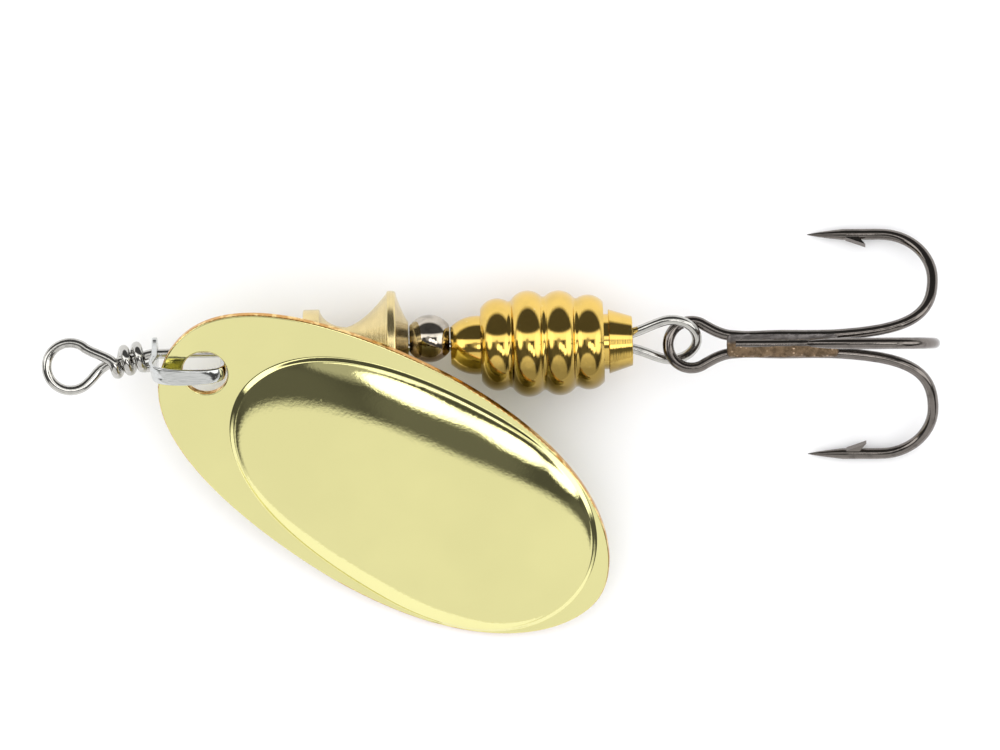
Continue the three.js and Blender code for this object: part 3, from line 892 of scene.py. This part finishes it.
class BowLine:
    """Middle line of the clevis's bow, measured along it from its crown."""

    def __init__(self, clevis):
        power = 2 / clevis.bow_squareness
        self.places = []
        steps = 1200
        for i in range(steps + 1):
            lean = math.pi * i / steps
            across = math.cos(lean)
            x = -math.copysign(clevis.half_span * abs(across) ** power, across)
            self.places.append(Vector((x, clevis.bow_height * math.sin(lean) ** power)))
        self.marks = [0.0]
        for here, there in zip(self.places, self.places[1:]):
            self.marks.append(self.marks[-1] + (there - here).length)
        self.length = self.marks[-1]

    def at(self, along):
        """Place and outward direction; past the bow's ends, the legs run straight down."""
        end = self.length / 2
        if abs(along) >= end:
            side = math.copysign(1.0, along)
            foot = self.places[-1] if along > 0 else self.places[0]
            return foot + Vector((0, end - abs(along))), Vector((side, 0))
        mark = along + end
        i = min(bisect_right(self.marks, mark), len(self.marks) - 1)
        here, there = self.places[i - 1], self.places[i]
        share = (mark - self.marks[i - 1]) / (self.marks[i] - self.marks[i - 1])
        step = (there - here).normalized()
        return here.lerp(there, share), Vector((-step.y, step.x))


class SPINNER_OT_clevis(Operator):
    """Clevis: a strip with two round ears, stamped flat and then bent to a bow"""

    bl_idname = "spinner.clevis"
    bl_label = "Clevis"

    def blank(self, clevis, reach, leg):
        """The flat strip, half of it on each side of the crown."""
        half = clevis.width / 2
        ear = reach + leg
        radius = clevis.ear_radius
        side = radius * ROUND_HANDLE
        rim = []
        for way in (1, -1):
            start = Vector((way * reach, way * half))
            edge = Vector((way * ear, way * radius))
            tip = Vector((way * (ear + radius), 0))
            other = Vector((way * ear, -way * radius))
            back = Vector((way * reach, -way * half))
            along = Vector((way, 0))
            across = Vector((0, way))
            bend_out = start + along * (leg - radius) * 2 / 3
            bend_back = back + along * (leg - radius) * 2 / 3
            ear_in = edge + (Vector((edge.x - way * radius, way * half)) - edge) * 2 / 3
            ear_out = other + (Vector((other.x - way * radius, -way * half)) - other) * 2 / 3
            rim += [
                (start, start - along * reach / 3, bend_out),
                (edge, ear_in, edge + along * side),
                (tip, tip + across * side, tip - across * side),
                (other, other + along * side, ear_out),
                (back, bend_back, back - along * reach / 3),
            ]
        return rim

    def swelling(self, x, clevis):
        """Share of the bow's spread: full over the front shoulder, none at the rear leg."""
        inset = 0.3
        fade = (clevis.half_span - inset - x) / (2 * (clevis.half_span - inset))
        return max(0.0, min(1.0, fade)) ** 0.8

    def slice_strip(self, clevis, reach):
        """Cuts the strip across and along, so that it can bend."""
        cuts = 64
        lanes = 11
        planes = [((reach * i / cuts, 0, 0), (1, 0, 0)) for i in range(-cuts, cuts + 1)]
        half_lanes = lanes // 2
        for i in range(-half_lanes, half_lanes + 1):
            planes.append(((0, clevis.width * i / lanes, 0), (0, 1, 0)))
        edit_mode()
        for place, direction in planes:
            bpy.ops.mesh.select_all(action="SELECT")
            bpy.ops.mesh.bisect(plane_co=place, plane_no=direction)
        clean_up(1e-5)
        edit_mode(False)

    def bend(self, piece, clevis, bow):
        """Bends the strip round the bow, crowns its outside and spreads its upper side."""
        reach = bow.length / 2
        half = clevis.width / 2
        spread_fades_over = 1.8
        for vertex in piece.data.vertices:
            along, across, out = vertex.co
            crowned = min(1.0, max(0.0, reach + 1 - abs(along)))
            if out > 0:
                out -= clevis.crown * min(1.0, (across / half) ** 2) * crowned
            middle, outwards = bow.at(along)
            if across > 0:
                past_bow = max(0.0, abs(along) - reach)
                on_bow = max(0.0, 1 - past_bow / spread_fades_over)
                spread = across * clevis.swell * self.swelling(middle.x, clevis) * on_bow
                across += spread
                out += spread * clevis.flare
            place = middle + outwards * out
            vertex.co = (place.x, across, clevis.pivot_height + place.y)
        edit_mode()
        clean_up(1e-5)
        edit_mode(False)

    def execute(self, context):
        clevis = millimetres(context.scene.spinner_clevis)
        bore = bore_radius(millimetres(context.scene.spinner_wire))
        bow = BowLine(clevis)
        reach = bow.length / 2
        leg = clevis.pivot_height
        ears = [circle_knots(way * (reach + leg), 0, bore) for way in (1, -1)]
        rim = self.blank(clevis, reach, leg)
        piece = plate("clevis_bow", [rim, *ears], clevis.thickness, edge=0.13)
        take_only(piece)
        self.slice_strip(clevis, reach)
        self.bend(piece, clevis, bow)
        smooth(40)
        first, last = node_range("clevis")
        place = turn(clevis.lean, "X") @ at((first + last) / 2)
        material = strip_finish(clevis.colour)
        finish_piece(piece, place, "clevis", ["clevis"], material)
        return {"FINISHED"}


# ---------------------------------------------------------------- blade


class SPINNER_OT_blade(Operator):
    """Blade: a pressed and plated sheet with a flat margin, a creased dome and a round hole"""

    bl_idname = "spinner.blade"
    bl_label = "Blade"

    def ring(self, start, end, widest_at, half_width, handles):
        """An egg-shaped ring of vertices round the long axis."""
        front_rise, front_run, rear_run, rear_rise = handles
        bpy.ops.object.select_all(action="DESELECT")
        bpy.ops.curve.primitive_bezier_circle_add(location=(0, 0, 0))
        piece = bpy.context.object
        piece.data.dimensions = "3D"
        piece.data.resolution_u = 72
        front = widest_at - front_run
        rear = widest_at + rear_run
        knots = [
            ((start, 0), (start, -front_rise), (start, front_rise)),
            ((widest_at, half_width), (front, half_width), (rear, half_width)),
            ((end, 0), (end, rear_rise), (end, -rear_rise)),
            ((widest_at, -half_width), (rear, -half_width), (front, -half_width)),
        ]
        set_knots(piece.data.splines[0], knots)
        bpy.ops.object.convert(target="MESH")
        return bpy.context.object

    def dome_profile(self, blade):
        """Shares of the foot's size and heights over the margin, from the foot inwards."""
        width = blade.dome_half_width
        crest = 1 - blade.step_width / width
        points = []
        for t in (0.12, 0.25, 0.4, 0.6, 0.75, 0.88, 1.0):
            eased = t * t * (3 - 2 * t)
            points.append((1 - (1 - crest) * t, blade.step_height * eased))
        rise = blade.dome_height - blade.step_height
        rings = 44
        for i in range(1, rings + 1):
            s = 1 - (i / rings) ** 1.35
            height = (1 - s**blade.dome_roundness) ** blade.dome_fullness
            points.append((crest * s, blade.step_height + rise * height))
        return points

    RIM_HANDLES = (11.4, 0.2, 16.0, 4.0)
    FOOT_HANDLES = (2.6, 19.5, 10.4, 5.1)

    def skin(self, blade):
        """The sheet's upper face: a flat margin from the rim to the dome's foot, and the dome."""
        rim = self.ring(
            0, blade.length, blade.widest_at, blade.half_width, self.RIM_HANDLES
        )
        rim_places = [vertex.co.copy() for vertex in rim.data.vertices]
        bpy.data.objects.remove(rim, do_unlink=True)
        piece = self.ring(
            blade.dome_start,
            blade.dome_end,
            blade.dome_widest_at,
            blade.dome_half_width,
            self.FOOT_HANDLES,
        )
        crown = (blade.dome_widest_at - 2.5, 0, 0)
        take_only(piece)
        piece.name = "blade_sheet"
        count = len(piece.data.vertices)
        partner = {tuple(vertex.co): rim_places[vertex.index] for vertex in piece.data.vertices}
        edit_mode()
        bpy.ops.mesh.select_all(action="SELECT")
        bpy.ops.mesh.extrude_edges_move()
        edit_mode(False)
        for vertex in piece.data.vertices[count:]:
            vertex.co = partner[tuple(vertex.co)]
        edit_mode()
        select_where(piece, "VERT", lambda vertex: vertex.index < count)
        before, lift = 1.0, 0.0
        for share, height in self.dome_profile(blade):
            bpy.ops.mesh.extrude_edges_move(TRANSFORM_OT_translate={"value": (0, 0, height - lift)})
            if share > 0:
                ratio = share / before
                bpy.ops.transform.resize(value=(ratio, ratio, 1), center_override=crown)
            else:
                bpy.ops.mesh.merge(type="CENTER")
            before, lift = share, height
        clean_up(1e-5)
        edit_mode(False)
        if sum(face.normal.z for face in piece.data.polygons) < 0:
            piece.data.flip_normals()
        return piece

    def at_rest(self, context, blade):
        """Place of the blade where it leans on the bell's rim."""
        clevis = millimetres(context.scene.spinner_clevis)
        bell = millimetres(context.scene.spinner_turned)
        pivot = joint_place("blade_swing").x
        reach = node_range("bell")[0] + bell.bell_rim_at - pivot
        gap = 0.08
        rise = bell.bell_rim_radius + gap + blade.thickness / 2 - clevis.pivot_height
        return (
            turn(clevis.lean, "X")
            @ at(pivot, 0, clevis.pivot_height)
            @ turn(-math.atan2(rise, reach), "Y")
            @ at(blade.hole_radius + blade.front_margin / 2)
            @ turn(-blade.yaw, "Z")
            @ at(-blade.hole_from_tip, 0, blade.thickness / 2)
        )

    def execute(self, context):
        blade = millimetres(context.scene.spinner_blade)
        piece = self.skin(blade)
        bpy.ops.object.modifier_add(type="SOLIDIFY")
        sheet = piece.modifiers[-1]
        sheet.thickness = blade.thickness
        sheet.offset = -1
        bpy.ops.object.modifier_apply(modifier=sheet.name)
        bpy.ops.mesh.primitive_cylinder_add(
            vertices=128,
            radius=blade.hole_radius,
            depth=4 * blade.thickness,
            location=(blade.hole_from_tip, 0, 0),
        )
        combine(piece, bpy.context.object, "DIFFERENCE")
        self.round_edges(piece)
        self.mark_cut_edge(piece, blade)
        smooth(50)
        weight_normals(piece)
        material = gold_plate_finish(blade.colour, blade.edge_colour)
        place = self.at_rest(context, blade)
        finish_piece(piece, place, "blade", ["blade"], material)
        return {"FINISHED"}

    def round_edges(self, piece):
        """Rounds the rims of the outline and of the hole."""
        take_only(piece)
        steep = math.radians(60)
        faces = piece.data.polygons
        edge_faces = {}
        for face in faces:
            for key in face.edge_keys:
                edge_faces.setdefault(key, []).append(face.index)
        sharp = set()
        for key, pair in edge_faces.items():
            if len(pair) == 2 and faces[pair[0]].normal.angle(faces[pair[1]].normal) > steep:
                sharp.add(key)
        edit_mode()
        select_where(piece, "EDGE", lambda edge: edge.key in sharp)
        bpy.ops.mesh.bevel(offset=0.17, segments=4)
        edit_mode(False)

    def mark_cut_edge(self, piece, blade):
        """Marks the cut walls of the sheet, for the finish."""
        skin = 0.02
        layer = piece.data.attributes.new("cut_edge", "FLOAT", "POINT")
        walls = set()
        for face in piece.data.polygons:
            inside = -blade.thickness + skin < face.center.z < -skin
            if inside and abs(face.normal.z) < 0.5:
                walls.update(face.vertices)
        for index, value in enumerate(layer.data):
            value.value = 1.0 if index in walls else 0.0


# ---------------------------------------------------------------- turned pieces


class SPINNER_OT_bearing_bead(Operator):
    """Barrel bead that the clevis runs against"""

    bl_idname = "spinner.bearing_bead"
    bl_label = "Bearing bead"

    def execute(self, context):
        sizes = millimetres(context.scene.spinner_turned)
        wire = millimetres(context.scene.spinner_wire)
        bore = bore_radius(wire)
        first, last = node_range("bearing_bead")
        half = (last - first) / 2
        bulge = sizes.bearing_radius - sizes.bearing_end_radius
        radius = (half * half + bulge * bulge) / (2 * bulge)
        edge = math.degrees(math.asin(half / radius))
        chamfer = 0.08
        profile = [
            (-half + chamfer, bore),
            (-half, bore + chamfer),
            *arc((0, sizes.bearing_radius - radius), radius, 90 + edge, 90 - edge, 28),
            (half, bore + chamfer),
            (half - chamfer, bore),
        ]
        material = polished_brass_finish("bead_brass", sizes.brass)
        place = at((first + last) / 2)
        finish_turned(
            context, "barrel_bead", profile, place, "bearing_bead", material
        )
        return {"FINISHED"}


class SPINNER_OT_bell(Operator):
    """Bell: flange, waist, flared rim and sloping back"""

    bl_idname = "spinner.bell"
    bl_label = "Bell"

    def execute(self, context):
        sizes = millimetres(context.scene.spinner_turned)
        wire = millimetres(context.scene.spinner_wire)
        bore = bore_radius(wire)
        first, last = node_range("bell")
        end = last - first
        flange = sizes.bell_front_radius
        rim_front = sizes.bell_rim_at - sizes.bell_rim_width / 2
        rim_rear = sizes.bell_rim_at + sizes.bell_rim_width / 2
        waist = (sizes.bell_waist_at, sizes.bell_waist_radius)
        rim = sizes.bell_rim_radius
        chamfer = 0.1
        edge = 0.16
        profile = [
            (chamfer, bore),
            (0, bore + chamfer),
            (0, flange - edge),
            *arc((edge, flange - edge), edge, 180, 90, 4)[1:],
            *arc((sizes.bell_front_rim - edge, flange - edge), edge, 90, 20, 4),
            *cubic(
                (sizes.bell_front_rim, flange - 0.2),
                (sizes.bell_front_rim + 0.3, waist[1] + 0.55),
                (waist[0] - 1.1, waist[1]),
                waist,
                20,
            ),
            *cubic(
                waist,
                (waist[0] + 1.3, waist[1] + 0.35),
                (sizes.bell_rim_at - 1.55, rim - 1.6),
                (rim_front, rim - 0.22),
                26,
            ),
            *arc((rim_front + 0.2, rim - 0.2), 0.2, 170, 95, 5)[1:],
            (sizes.bell_rim_at, rim),
            *arc((rim_rear - 0.28, rim - 0.3), 0.28, 88, 10, 6),
            (rim_rear + 0.02, rim - 0.45),
            *cubic(
                (rim_rear + 0.02, rim - 0.45),
                (rim_rear + 0.25, rim - 1.2),
                (end - 0.35, sizes.bell_rear_radius + 0.5),
                (end, sizes.bell_rear_radius),
                14,
            ),
            (end, bore + chamfer),
            (end - chamfer, bore),
        ]
        material = turned_brass_finish(sizes.bell_brass)
        finish_turned(context, "bell_brass", profile, at(first), "bell", material)
        return {"FINISHED"}


class SPINNER_OT_steel_bead(Operator):
    """Polished round bead between the bell and the body"""

    bl_idname = "spinner.steel_bead"
    bl_label = "Steel bead"

    def execute(self, context):
        sizes = millimetres(context.scene.spinner_turned)
        centre = joint_place("steel_bead_spin")
        edge = math.degrees(math.asin(sizes.ball_bore / sizes.ball_radius))
        profile = arc((0, 0), sizes.ball_radius, 180 - edge, edge, 72)
        material = bead_finish(sizes.bead_steel)
        finish_turned(
            context, "round_bead", profile, at(*centre), "steel_bead", material
        )
        return {"FINISHED"}


class SPINNER_OT_body(Operator):
    """Ribbed body: a bulb, four round ribs, a groove and a tapered tail"""

    bl_idname = "spinner.body"
    bl_label = "Ribbed body"

    RIBS = ((4.23, 4.16), (6.98, 4.79), (9.77, 4.73), (12.39, 4.28))

    def bulb(self, end):
        """Half an oval from the body's front to the first rib."""
        radius, half_length, middle = 2.66, 3.1, 2.4
        steps = 16
        points = []
        for step in range(steps + 1):
            x = end * step / steps
            away = (x - middle) / half_length
            points.append((x, radius * math.sqrt(1 - away * away)))
        return points

    def ribs(self, crest, start, end):
        """Arcs over the crests; each valley between them is a small round fillet."""
        fillet = 0.32
        steps = 26
        points = []
        for i, (middle, radius) in enumerate(self.RIBS):
            is_last = i + 1 == len(self.RIBS)
            if i:
                low = -self.meeting(self.RIBS[i - 1], self.RIBS[i], crest, fillet)[1]
            else:
                low = math.asin((start - middle) / crest)
            if is_last:
                high = math.asin((end - middle) / crest)
            else:
                high = self.meeting(self.RIBS[i], self.RIBS[i + 1], crest, fillet)[0]
            for step in range(steps + 1):
                lean = low + (high - low) * step / steps
                x = middle + crest * math.sin(lean)
                points.append((x, radius - crest + crest * math.cos(lean)))
            if not is_last:
                points += self.valley(self.RIBS[i], self.RIBS[i + 1], crest, fillet)
        return points

    def hollow(self, this, after, crest, fillet):
        """Middle of the circle that touches both crests from outside."""
        one = Vector((this[0], this[1] - crest))
        two = Vector((after[0], after[1] - crest))
        between = two - one
        reach = crest + fillet
        rise = math.sqrt(reach**2 - (between.length / 2) ** 2)
        upwards = Vector((-between.y, between.x)).normalized()
        return (one + two) / 2 + upwards * rise, one, two

    def meeting(self, this, after, crest, fillet):
        """Angles from straight out at which the fillet touches each of the two crests."""
        middle, one, two = self.hollow(this, after, crest, fillet)
        first = math.atan2(middle.x - one.x, middle.y - one.y)
        second = math.atan2(two.x - middle.x, middle.y - two.y)
        return first, second

    def valley(self, this, after, crest, fillet):
        """Points of the fillet between two crests."""
        middle, one, two = self.hollow(this, after, crest, fillet)
        first = math.degrees(math.atan2(one.y - middle.y, one.x - middle.x))
        second = math.degrees(math.atan2(two.y - middle.y, two.x - middle.x))
        return arc(tuple(middle), fillet, first % 360, second % 360, 8)[1:-1]

    def execute(self, context):
        sizes = millimetres(context.scene.spinner_turned)
        wire = millimetres(context.scene.spinner_wire)
        bore = bore_radius(wire)
        first, last = node_range("ribbed_body")
        end = last - first
        rib_start, rib_end = 2.72, 13.75
        groove, groove_radius = 0.45, 2.5
        tail, tail_radius, tail_edge = rib_end + groove, 2.81, 0.08
        end_radius, end_edge = 2.14, 0.12
        pocket, pocket_depth = wire.diameter * 1.5 + 0.15, 2.05
        bore_end = 4.25
        chamfer, pocket_chamfer = 0.1, 0.06
        profile = [
            (chamfer, bore),
            (0, bore + chamfer),
            *self.bulb(rib_start),
            *self.ribs(sizes.rib_round, rib_start, rib_end),
            (rib_end + 0.02, groove_radius),
            (tail, groove_radius),
            (tail, tail_radius),
            *arc((tail + tail_edge, tail_radius), tail_edge, 180, 95, 3)[1:],
            *arc((end - end_edge, end_radius), end_edge, 80, 0, 5),
            (end, pocket + pocket_chamfer),
            (end - pocket_chamfer, pocket),
            (end - pocket_depth, pocket),
            (end - bore_end, bore),
        ]
        material = polished_brass_finish("body_brass", sizes.brass)
        finish_turned(
            context, "ribbed_brass", profile, at(first), "ribbed_body", material
        )
        return {"FINISHED"}


# ---------------------------------------------------------------- treble hook


class TrebleShape:
    """Lines of the treble hook's wires, from the middle of its eye, in millimetres."""

    LEFT = math.radians(-30)
    RIGHT = math.radians(210)
    TOP = math.radians(90)

    def __init__(self, hook):
        self.hook = hook
        self.radius = hook.wire_diameter / 2

    def bend(self, shank_radius):
        """Bend and point of one hook as (along, outwards, share of the wire's radius)."""
        hook = self.hook
        extreme = hook.bend_middle + hook.bend_radius
        height = hook.gape - hook.bend_radius
        line = cubic(
            (hook.shank_end, shank_radius),
            (extreme - 2.3, shank_radius + 0.38),
            (extreme, height - 4.0),
            (extreme, height),
            14,
        )
        line += arc((hook.bend_middle, height), hook.bend_radius, 0, 90, 10)[1:]
        line.append((hook.bend_middle - 1.5, hook.gape))
        knots = [(along, out, 1.0) for along, out in line]
        for left in (1.0, 0.85, 0.7, 0.55, 0.4, 0.27, 0.15, 0.06, 0.0):
            along = hook.point_end + hook.taper * left
            knots.append((along, hook.gape, max(0.05, left**0.72)))
        return knots

    def in_plane(self, along, out, direction):
        rise = self.hook.axis_rise + out * math.sin(direction)
        return Vector((along, out * math.cos(direction), rise))

    def add_barb(self, piece, direction):
        """A raised sliver on the inner side of the point."""
        hook = self.hook
        low = -self.radius
        root = hook.barb_at
        top = root + hook.barb_length
        outline = [
            corner(root, low * 0.3),
            corner(root - 0.1, low * 0.95),
            corner(top, low - hook.barb_height),
            corner(root + hook.barb_length * 0.62, low * 0.7),
        ]
        barb = plate("barb", [outline], hook.barb_width, edge=0.0)
        barb.data.transform(
            at(0, 0, hook.axis_rise) @ turn(direction, "X") @ at(0, hook.gape)
        )
        return combine(piece, barb, "UNION")

    def double(self):
        hook = self.hook
        strand = hook.strand_offset / math.cos(self.LEFT)
        bend = self.bend(strand)
        left = [(self.in_plane(a, o, self.LEFT), r) for a, o, r in bend][::-1]
        right = [(self.in_plane(a, o, self.RIGHT), r) for a, o, r in bend]
        opening = tangent_angle(hook.shank_start, 0, hook.eye_radius)
        offset = hook.strand_offset
        neck = hook.shank_start - 1.1
        neck_offset = offset + 0.27
        half_way = (hook.shank_end + hook.shank_start) / 2
        flat = [
            (hook.shank_end, offset),
            (half_way, offset),
            (hook.shank_start, offset),
            (neck, neck_offset),
            *arc((0, 0), hook.eye_radius, opening, 360 - opening, 22),
            (neck, -neck_offset),
            (hook.shank_start, -offset),
            (half_way, -offset),
            (hook.shank_end, -offset),
        ]
        knots = left + [(Vector((x, y, 0)), 1.0) for x, y in flat] + right
        piece = tube("hook_pair", [k[0] for k in knots], self.radius, [k[1] for k in knots])
        for direction in (self.LEFT, self.RIGHT):
            piece = self.add_barb(piece, direction)
        return piece

    def single(self):
        hook = self.hook
        height = hook.axis_rise + hook.single_rise
        shank = [(Vector((x, 0, height)), 1.0) for x in (hook.shank_start + 0.4, hook.shank_end)]
        bend = self.bend(hook.single_rise)
        knots = shank + [(self.in_plane(a, o, self.TOP), r) for a, o, r in bend]
        piece = tube("hook_top", [k[0] for k in knots], self.radius, [k[1] for k in knots])
        self.flatten_point(piece)
        return self.add_barb(piece, self.TOP)

    def flatten_point(self, piece):
        """Forged flat point: its sides stay apart almost up to the tip."""
        hook = self.hook
        for vertex in piece.data.vertices:
            left = (vertex.co.x - hook.point_end) / hook.taper
            if left < 1 and vertex.co.z > hook.axis_rise + hook.gape / 2:
                vertex.co.y *= max(left, 0.06) ** -0.45


def treble_place(hook):
    """From the hook's own eye to its place on the rear loop."""
    eye = at(*joint_place("hook_swing"))
    return eye @ turn(-hook.pitch, "Y") @ turn(-hook.sideways, "Z")


class SPINNER_OT_hooks(Operator):
    """Treble hook: a double hook bent from one wire, and the third hook above its shank"""

    bl_idname = "spinner.hooks"
    bl_label = "Hooks"

    def execute(self, context):
        hook = millimetres(context.scene.spinner_hook)
        shape = TrebleShape(hook)
        material = drawn_wire_finish("black_nickel", hook.colour, 0.07, 0.45)
        makers = {"double_hook": shape.double, "single_hook": shape.single}
        for node, make in makers.items():
            piece = make()
            if node == "single_hook":
                round_ends(piece, offset=0.06)
            take_only(piece)
            smooth(40)
            place = treble_place(hook)
            finish_piece(piece, place, "treble_hook", [node], material)
        return {"FINISHED"}


class SPINNER_OT_solder(Operator):
    """Brazed stretch that holds the three shanks together"""

    bl_idname = "spinner.solder"
    bl_label = "Solder"

    def execute(self, context):
        hook = millimetres(context.scene.spinner_hook)
        reach = hook.solder_end - hook.solder_start
        end_round = 0.35
        cuts = 48
        bpy.ops.object.select_all(action="DESELECT")
        bpy.ops.mesh.primitive_cylinder_add(
            vertices=72,
            radius=hook.solder_radius,
            depth=reach,
            rotation=(0, math.pi / 2, 0),
        )
        piece = bpy.context.object
        piece.name = "brazing"
        bpy.ops.object.transform_apply(location=True, rotation=True, scale=True)
        edit_mode()
        select_where(piece, "FACE", lambda face: len(face.vertices) > 4)
        bpy.ops.mesh.bevel(offset=end_round, segments=4)
        for i in range(1, cuts):
            bpy.ops.mesh.select_all(action="SELECT")
            along = (i / cuts - 0.5) * (reach - 2 * end_round - 0.1)
            bpy.ops.mesh.bisect(plane_co=(along, 0, 0), plane_no=(1, 0, 0))
        edit_mode(False)
        lumps = bpy.data.textures.new("braze_lumps", "CLOUDS")
        lumps.noise_scale = 0.75
        lumps.noise_depth = 3
        bpy.ops.object.modifier_add(type="DISPLACE")
        modifier = piece.modifiers[-1]
        modifier.texture = lumps
        modifier.strength = 0.28
        modifier.mid_level = 0.5
        bpy.ops.object.modifier_apply(modifier=modifier.name)
        smooth(60)
        middle = (hook.solder_start + hook.solder_end) / 2
        place = treble_place(hook) @ at(middle, -0.14, hook.axis_rise)
        material = solder_finish(hook.solder_colour, joint_place("hook_swing").y)
        finish_piece(piece, place, "treble_hook", ["hook_solder"], material)
        return {"FINISHED"}


# ---------------------------------------------------------------- stage


SENSOR_WIDTH = 36.0

# Level of the dark sky overhead, and the soft boxes and dark flags in it, which polished metal
# mirrors: degrees to the right and to the back of straight up, the half angles where each is
# full and where it has faded, and its level.
SKY_BASE = 0.09
SKY = (
    (-30, -22, 12, 25, 0.13),
    (5, -22, 6, 14, 0.16),
    (32, -42, 6, 13, 0.14),
    (-6, 0, 7, 14, 0.5),
    (-8, -67, 37, 42, 1.0),
    (56, -4, 14, 24, 2.2),
    (-49, 6, 10, 18, 2.2),
    (5, -7, 6, 10, 3.0),
    (19, -12, 6, 10, 3.0),
    (32, -20, 5, 9, 3.0),
)
# A long light across the shaft's line: where it starts, is full, fades and is gone, as shares
# of the way to the back, and its level.
SKY_BAR = (0.06, 0.14, 0.3, 0.42, 1.8)


def sky_direction(right, back):
    """Direction that leans so many degrees to the right and to the back of straight up."""
    lean = math.radians(math.hypot(right, back))
    round_it = math.atan2(back, right)
    return (
        math.sin(lean) * math.cos(round_it),
        math.sin(lean) * math.sin(round_it),
        math.cos(lean),
    )


class SPINNER_OT_stage(Operator):
    """Pale floor, soft surroundings and the camera"""

    bl_idname = "spinner.stage"
    bl_label = "Stage"

    def execute(self, context):
        stage = millimetres(context.scene.spinner_stage)
        self.floor(stage)
        self.surroundings(context, stage)
        self.camera(context, stage)
        context.scene.view_settings.view_transform = "Standard"
        return {"FINISHED"}

    def floor(self, stage):
        bpy.ops.object.select_all(action="DESELECT")
        level = CAD_BOX[0][2] - 0.05 * MM
        bpy.ops.mesh.primitive_plane_add(size=6.0, location=(0, 0, level))
        floor = bpy.context.object
        floor.name = "floor"
        finish = new_finish("floor")
        cloud = finish.noise(finish.coordinates(), 0.02, 2.0)
        tone = finish.mix(stage.floor_colour, shade(stage.floor_colour, 0.985), cloud)
        floor.data.materials.append(finish.surface(Base_Color=tone, Roughness=0.9))

    def surroundings(self, context, stage):
        world = bpy.data.worlds.new("studio")
        context.scene.world = world
        finish = Finish(world)
        direction = finish.node("ShaderNodeTexCoord").outputs["Generated"]
        height = finish.axis(direction, "Z")
        light = SKY_BASE + (1 - height.eased(0.02, 0.2)) * (1 - SKY_BASE)
        towards_back = finish.axis(direction, "Y")
        start, full, fading, gone, level = SKY_BAR
        bar = towards_back.eased(start, full) * (1 - towards_back.eased(fading, gone))
        light = light + bar * (level - SKY_BASE) * height.eased(0.1, 0.3)
        for right, back, near, far, level in SKY:
            dot = finish.node(
                "ShaderNodeVectorMath",
                {"operation": "DOT_PRODUCT"},
                {0: direction, 1: sky_direction(right, back)},
            )
            closeness = Value(finish, dot.outputs["Value"])
            patch = closeness.eased(math.cos(math.radians(far)), math.cos(math.radians(near)))
            light = light + (level - light) * patch
        studio = finish.node(
            "ShaderNodeBackground", inputs={"Color": (1.0, 0.995, 0.985), "Strength": light}
        )
        plain = finish.node(
            "ShaderNodeBackground", inputs={"Color": (1.0, 1.0, 1.0), "Strength": stage.backdrop}
        )
        mirrored = finish.node("ShaderNodeLightPath").outputs["Is Glossy Ray"]
        mixed = finish.node(
            "ShaderNodeMixShader",
            inputs={0: mirrored, 1: plain.outputs[0], 2: studio.outputs[0]},
        )
        finish.node("ShaderNodeOutputWorld", inputs={"Surface": mixed.outputs[0]})

    def camera(self, context, stage):
        bpy.ops.object.camera_add(
            location=(stage.aim_x * MM, stage.aim_y * MM, stage.distance * MM),
            rotation=(0, 0, stage.roll),
        )
        camera = context.object
        camera.data.sensor_width = SENSOR_WIDTH
        camera.data.lens = SENSOR_WIDTH * stage.distance / stage.view_width
        camera.data.clip_start = 0.01
        camera.data.clip_end = 20.0
        context.scene.camera = camera


# ---------------------------------------------------------------- panel and registration


PIECES = (
    SPINNER_OT_wire,
    SPINNER_OT_clevis,
    SPINNER_OT_blade,
    SPINNER_OT_bearing_bead,
    SPINNER_OT_bell,
    SPINNER_OT_steel_bead,
    SPINNER_OT_body,
    SPINNER_OT_hooks,
    SPINNER_OT_solder,
    SPINNER_OT_stage,
)

GROUPS = {
    "spinner_wire": WireSettings,
    "spinner_clevis": ClevisSettings,
    "spinner_blade": BladeSettings,
    "spinner_turned": TurnedSettings,
    "spinner_hook": HookSettings,
    "spinner_stage": StageSettings,
}


class SPINNER_PT_pieces(Panel):
    """Lists the operators that make the spinner"""

    bl_label = "Inline spinner"
    bl_idname = "SPINNER_PT_pieces"
    bl_space_type = "VIEW_3D"
    bl_region_type = "UI"
    bl_category = "Spinner"

    def draw(self, context):
        for operator in PIECES:
            self.layout.operator(operator.bl_idname)


def register():
    for name, group in GROUPS.items():
        bpy.utils.register_class(group)
        setattr(bpy.types.Scene, name, PointerProperty(type=group))
    for operator in PIECES:
        bpy.utils.register_class(operator)
    bpy.utils.register_class(SPINNER_PT_pieces)


def unregister():
    bpy.utils.unregister_class(SPINNER_PT_pieces)
    for operator in reversed(PIECES):
        bpy.utils.unregister_class(operator)
    for name, group in GROUPS.items():
        delattr(bpy.types.Scene, name)
        bpy.utils.unregister_class(group)


def main():
    register()
    for operator in PIECES:
        group, name = operator.bl_idname.split(".")
        getattr(getattr(bpy.ops, group), name)()


if __name__ == "__main__":
    main()
